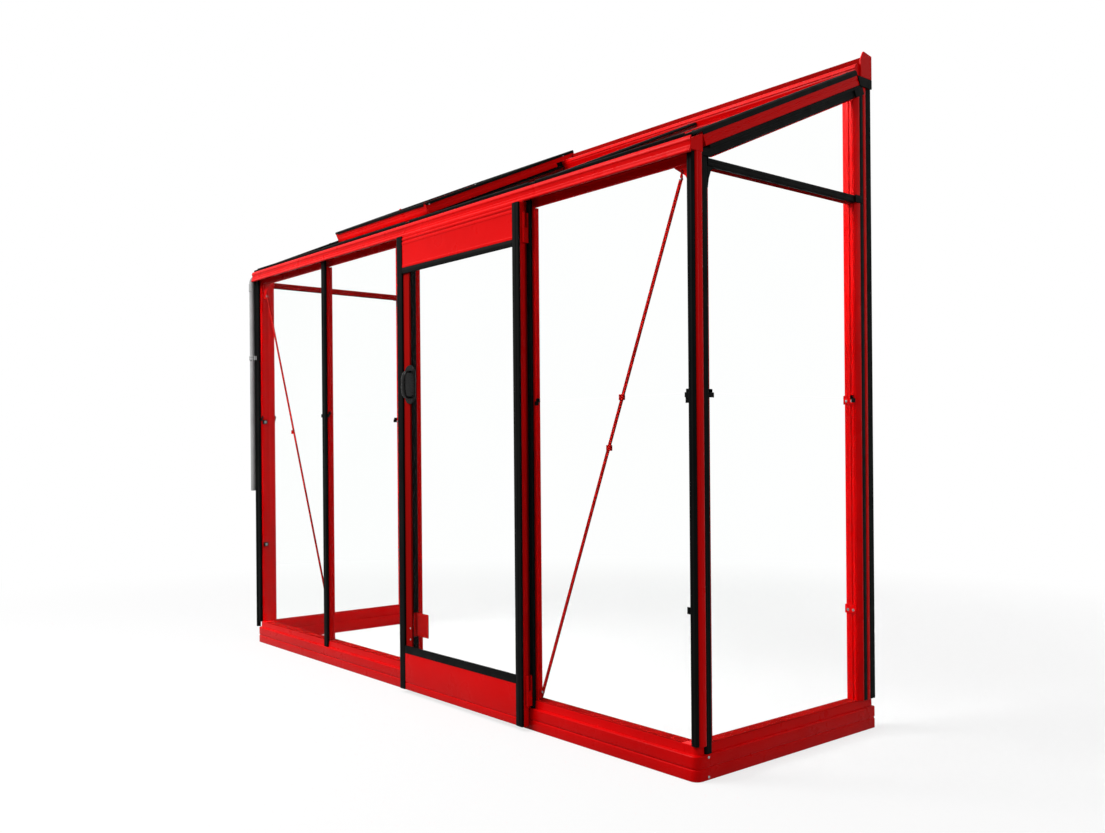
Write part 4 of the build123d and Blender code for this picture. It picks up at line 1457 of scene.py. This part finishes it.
        # The latch cover is drawn in the darker red, as painted shade.
        plate.piece("door_latch_cover", SHADED_RED, ["door_latch_plate"], Body.DOOR)
        heads = Shape()
        for z in self.stile_screws:
            heads.screw(PLAN.spot(edge - 8, self.strip_back, z), TO_FRONT, 3.2)
        for z in self.plate_screws:
            heads.screw(PLAN.spot(edge + 40, face, z), TO_WALL, 3.2)
        for x in (self.left + 22, self.right - 22):
            for z in self.corner_screws:
                heads.screw(PLAN.spot(x, self.inner, z), TO_WALL, 3.8)
        heads.piece("door_screws", ZINC, body=Body.DOOR)


def swollen(value: float, power: float) -> float:
    """A sine or cosine raised to a power, with its sign kept."""
    return math.copysign(abs(value) ** power, value)


@dataclass
class DoorHandle:
    """A moulded oval pull on the left stile of the door."""

    x: float = 1300.01
    z: float = 1058.0
    wide: float = 64.0
    tall: float = 132.0
    plate_back: float = -24.0
    plate_front: float = -30.0
    grip_front: float = -58.0
    grip_tall: float = 96.0
    grip_wide: float = 22.0
    grip_thick: float = 8.0
    grip_steps: int = 28
    ring_steps: int = 20

    def build(self) -> None:
        """Makes the plate and its bow grip."""
        half, rise = self.wide / 2, self.tall / 2
        outline = slab(
            self.x - half, self.x + half, self.z - rise, self.z + rise, half * 0.98, 10
        )
        pull = Shape().bar(Run.DEPTH, outline, self.plate_front, self.plate_back, 1.8)
        pull.loft(self.grip()).piece("door_pull", MOULDED, ["door_handle"], Body.DOOR)

    def grip(self) -> list[list[Vector]]:
        """Bends the grip from its lower foot to its upper foot.

        Returns:
            The rings of the grip.
        """
        rings = []
        rise = self.plate_front - self.grip_front - self.grip_thick / 2
        half = self.grip_tall / 2 - self.grip_thick / 2
        for k in range(self.grip_steps + 1):
            angle = (-1.0 + 2.0 * k / self.grip_steps) * math.pi / 2
            y = self.plate_front + 1.0 - (rise + 1.0) * abs(math.cos(angle)) ** 0.42
            z = self.z + swollen(math.sin(angle), 0.8) * half
            lean = math.atan2(math.sin(angle) * 1.15, math.cos(angle) + 0.15)
            rings.append(self.grip_ring(y, z, lean))
        return rings

    def grip_ring(self, y: float, z: float, lean: float) -> list[Vector]:
        """One rounded section of the grip, turned square to its bow.

        Args:
            y: depth of the section's middle.
            z: height of the section's middle.
            lean: angle by which the section is turned.

        Returns:
            The points of the ring.
        """
        ring = []
        for k in range(self.ring_steps):
            turn = 2 * math.pi * k / self.ring_steps
            across = swollen(math.cos(turn), 0.7) * self.grip_wide / 2
            out = swollen(math.sin(turn), 0.7) * self.grip_thick / 2
            place = (self.x + across, y - out * math.cos(lean), z + out * math.sin(lean))
            ring.append(PLAN.spot(*place))
        return ring


@dataclass
class Hinges:
    """Two lift-off hinges: pins and plates on the jamb, sleeves on the door."""

    x: float = 1913.0
    y: float = -14.0
    radius: float = 4.5
    pin: float = 2.8
    half: float = 45.0
    levels: Point = (1494.0, 118.0)
    plate: Point = (1885.0, 1915.5)
    screw_half: float = 39.0
    steps: int = 28

    def build(self) -> None:
        """Makes the fixed and the moving halves."""
        fixed, sleeves, heads = Shape(), Shape(), Shape()
        x, r, p, half = self.x, self.radius, self.pin, self.half
        pin = [
            (p, -44.6), (r - 0.6, -half), (r, -44.4), (r, -0.6), (r - 0.6, 0), (p, 0), (p, 42),
            (p - 1, 44),
        ]
        hole = p + 0.1
        sleeve = [
            (hole, 0.5), (r - 0.6, 0.5), (r, 1.1), (r, 44.4), (r - 0.6, half), (hole, half),
        ]
        for level in self.levels:
            foot, low, high = PLAN.spot(x, self.y, level), level - half, level + half
            fixed.turned(pin, foot, UP, self.steps)
            fixed.bar(Run.UPRIGHT, slab(x - 2.5, x + 2.5, self.y, 2, 0.8), low, level)
            fixed.bar(Run.DEPTH, slab(*self.plate, low, high, 4, 4), -1, 2, 0.6)
            sleeves.turned(sleeve, foot, UP, self.steps, closed=True)
            sleeves.bar(Run.UPRIGHT, slab(x - 5, x - 2.9, -19, -9, 0.6), level + 0.5, high)
            for z in (level - self.screw_half, level + self.screw_half):
                heads.screw(PLAN.spot(self.plate[0] + 8, -1, z), TO_FRONT, 3.8)
        fixed.piece("hinge_pins_and_plates", RED, ["jamb_hinge_pins"])
        sleeves.piece("hinge_sleeves", RED, ["door_hinge_sleeves"], Body.DOOR)
        heads.piece("hinge_screws", ZINC)


@dataclass(frozen=True)
class StudioPaper:
    """Pale floor that the camera sees nearly white, with the shadow kept."""

    name: str = "studio_floor_paper"
    tone: float = 0.82
    fleck: float = 0.02
    bounce: float = 0.24
    lift: float = 0.76
    clear: Point = (1.6, 4.2)

    def material(self) -> bpy.types.Material:
        """Builds the floor's material, which turns white away from the greenhouse.

        Returns:
            The new material.
        """
        bench = NodeBench(bpy.data.materials.new(self.name))
        pale, paler, dim = (
            (tone, tone, tone, 1.0) for tone in (self.tone, self.tone + self.fleck, self.bounce)
        )
        paper = bench.ramp(bench.noise(EVEN, 40.0, 3.0), pale, paler)
        diffuse = bench.add("BsdfDiffuse", {"Color": paper}).outputs["BSDF"]
        glow = bench.add("Emission", {"Strength": 1.0}).outputs["Emission"]
        place = bench.add("TexCoord").outputs["Object"]
        reach = bench.add("VectorMath", {0: place}, operation="LENGTH").outputs["Value"]
        share = bench.spread(reach, self.lift, 1.0, self.clear, interpolation_type="SMOOTHSTEP")
        turf = bench.add("BsdfDiffuse", {"Color": dim}).outputs["BSDF"]
        return bench.show(bench.mix(bench.seen(), turf, bench.mix(share, diffuse, glow)))


@dataclass
class Lamp:
    """A soft box in the studio."""

    name: str
    place: Spot
    aim: Spot
    wide: float
    tall: float
    power: float

    def build(self) -> None:
        """Hangs the lamp."""
        data = bpy.data.lights.new(self.name, "AREA")
        data.shape = "RECTANGLE"
        data.size = self.wide
        data.size_y = self.tall
        data.energy = self.power
        made = bpy.data.objects.new(self.name, data)
        made.location = self.place
        way = Vector(self.aim) - Vector(self.place)
        made.rotation_euler = way.to_track_quat("-Z", "Y").to_euler()
        made.visible_camera = False
        bpy.context.scene.collection.objects.link(made)


@dataclass
class Studio:
    """Floor, light and camera."""

    floor_half: float = 40.0
    floor_level: float = -0.001
    ambient: float = 0.22
    camera_at: Spot = (3.0585, -2.3, 0.845)
    yaw: float = math.radians(50.0)
    roll: float = math.radians(-0.48)
    sensor: float = 36.0
    lens: float = 33.89
    shift: float = 0.0266
    lamps: tuple[Lamp, ...] = (
        Lamp("key_softbox", (-1.5, -3.6, 4.5), (0.1, -0.3, 0.9), 3.0, 1.6, 310.0),
        Lamp("end_softbox", (5.4, -0.3, 2.3), (1.2, 0.0, 1.2), 1.2, 1.6, 46.0),
        Lamp("top_softbox", (0.2, -1.0, 5.2), (0.0, 0.0, 1.0), 3.0, 1.6, 60.0),
    )

    def build(self) -> None:
        """Sets the studio up."""
        self.floor()
        self.world()
        for lamp in self.lamps:
            lamp.build()
        self.camera()
        bpy.context.scene.view_settings.view_transform = "Standard"

    def floor(self) -> None:
        """A wide pale floor under the greenhouse."""
        half, level = self.floor_half, self.floor_level
        mesh = bpy.data.meshes.new("studio_floor")
        signs = ((-1, -1), (1, -1), (1, 1), (-1, 1))
        mesh.from_pydata([(u * half, v * half, level) for u, v in signs], [], [(0, 1, 2, 3)])
        mesh.materials.append(StudioPaper().material())
        made = bpy.data.objects.new("studio_floor", mesh)
        bpy.context.scene.collection.objects.link(made)

    def world(self) -> None:
        """White behind the object, and a plain level of light from all round."""
        bench = NodeBench(bpy.data.worlds.new("studio_world"))
        light, white = (
            bench.add("Background", {"Color": (1.0, 1.0, 1.0, 1.0), "Strength": strength})
            for strength in (self.ambient, 1.0)
        )
        shader = bench.mix(bench.seen(), light.outputs["Background"], white.outputs["Background"])
        bpy.context.scene.world = bench.show(shader)

    def camera(self) -> None:
        """A level camera that looks at the near corner."""
        data = bpy.data.cameras.new("photo_camera")
        data.sensor_width = self.sensor
        data.lens = self.lens
        data.shift_y = self.shift
        made = bpy.data.objects.new("photo_camera", data)
        turn = Matrix.Rotation(self.yaw, 4, "Z") @ Matrix.Rotation(math.pi / 2, 4, "X")
        turn = turn @ Matrix.Rotation(self.roll, 4, "Z")
        made.matrix_world = Matrix.Translation(Vector(self.camera_at)) @ turn
        bpy.context.scene.collection.objects.link(made)
        bpy.context.scene.camera = made


def main() -> None:
    """Builds the greenhouse piece by piece."""
    logging.basicConfig(level=logging.INFO, format="%(name)s %(message)s")
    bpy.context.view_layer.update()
    for part in (
        BaseRails(), CornerPosts(), GlazingBars(), WallPosts(), Eave(), Downpipe(), RoofBars(),
        RoofVent(), EndWalls(), FrontCaps(), Braces(), PaneDressing(), DoorLeaf(), DoorHandle(),
        Hinges(), Studio(),
    ):
        part.build()
        LOG.info("%s done", type(part).__name__)


if __name__ == "__main__":
    main()
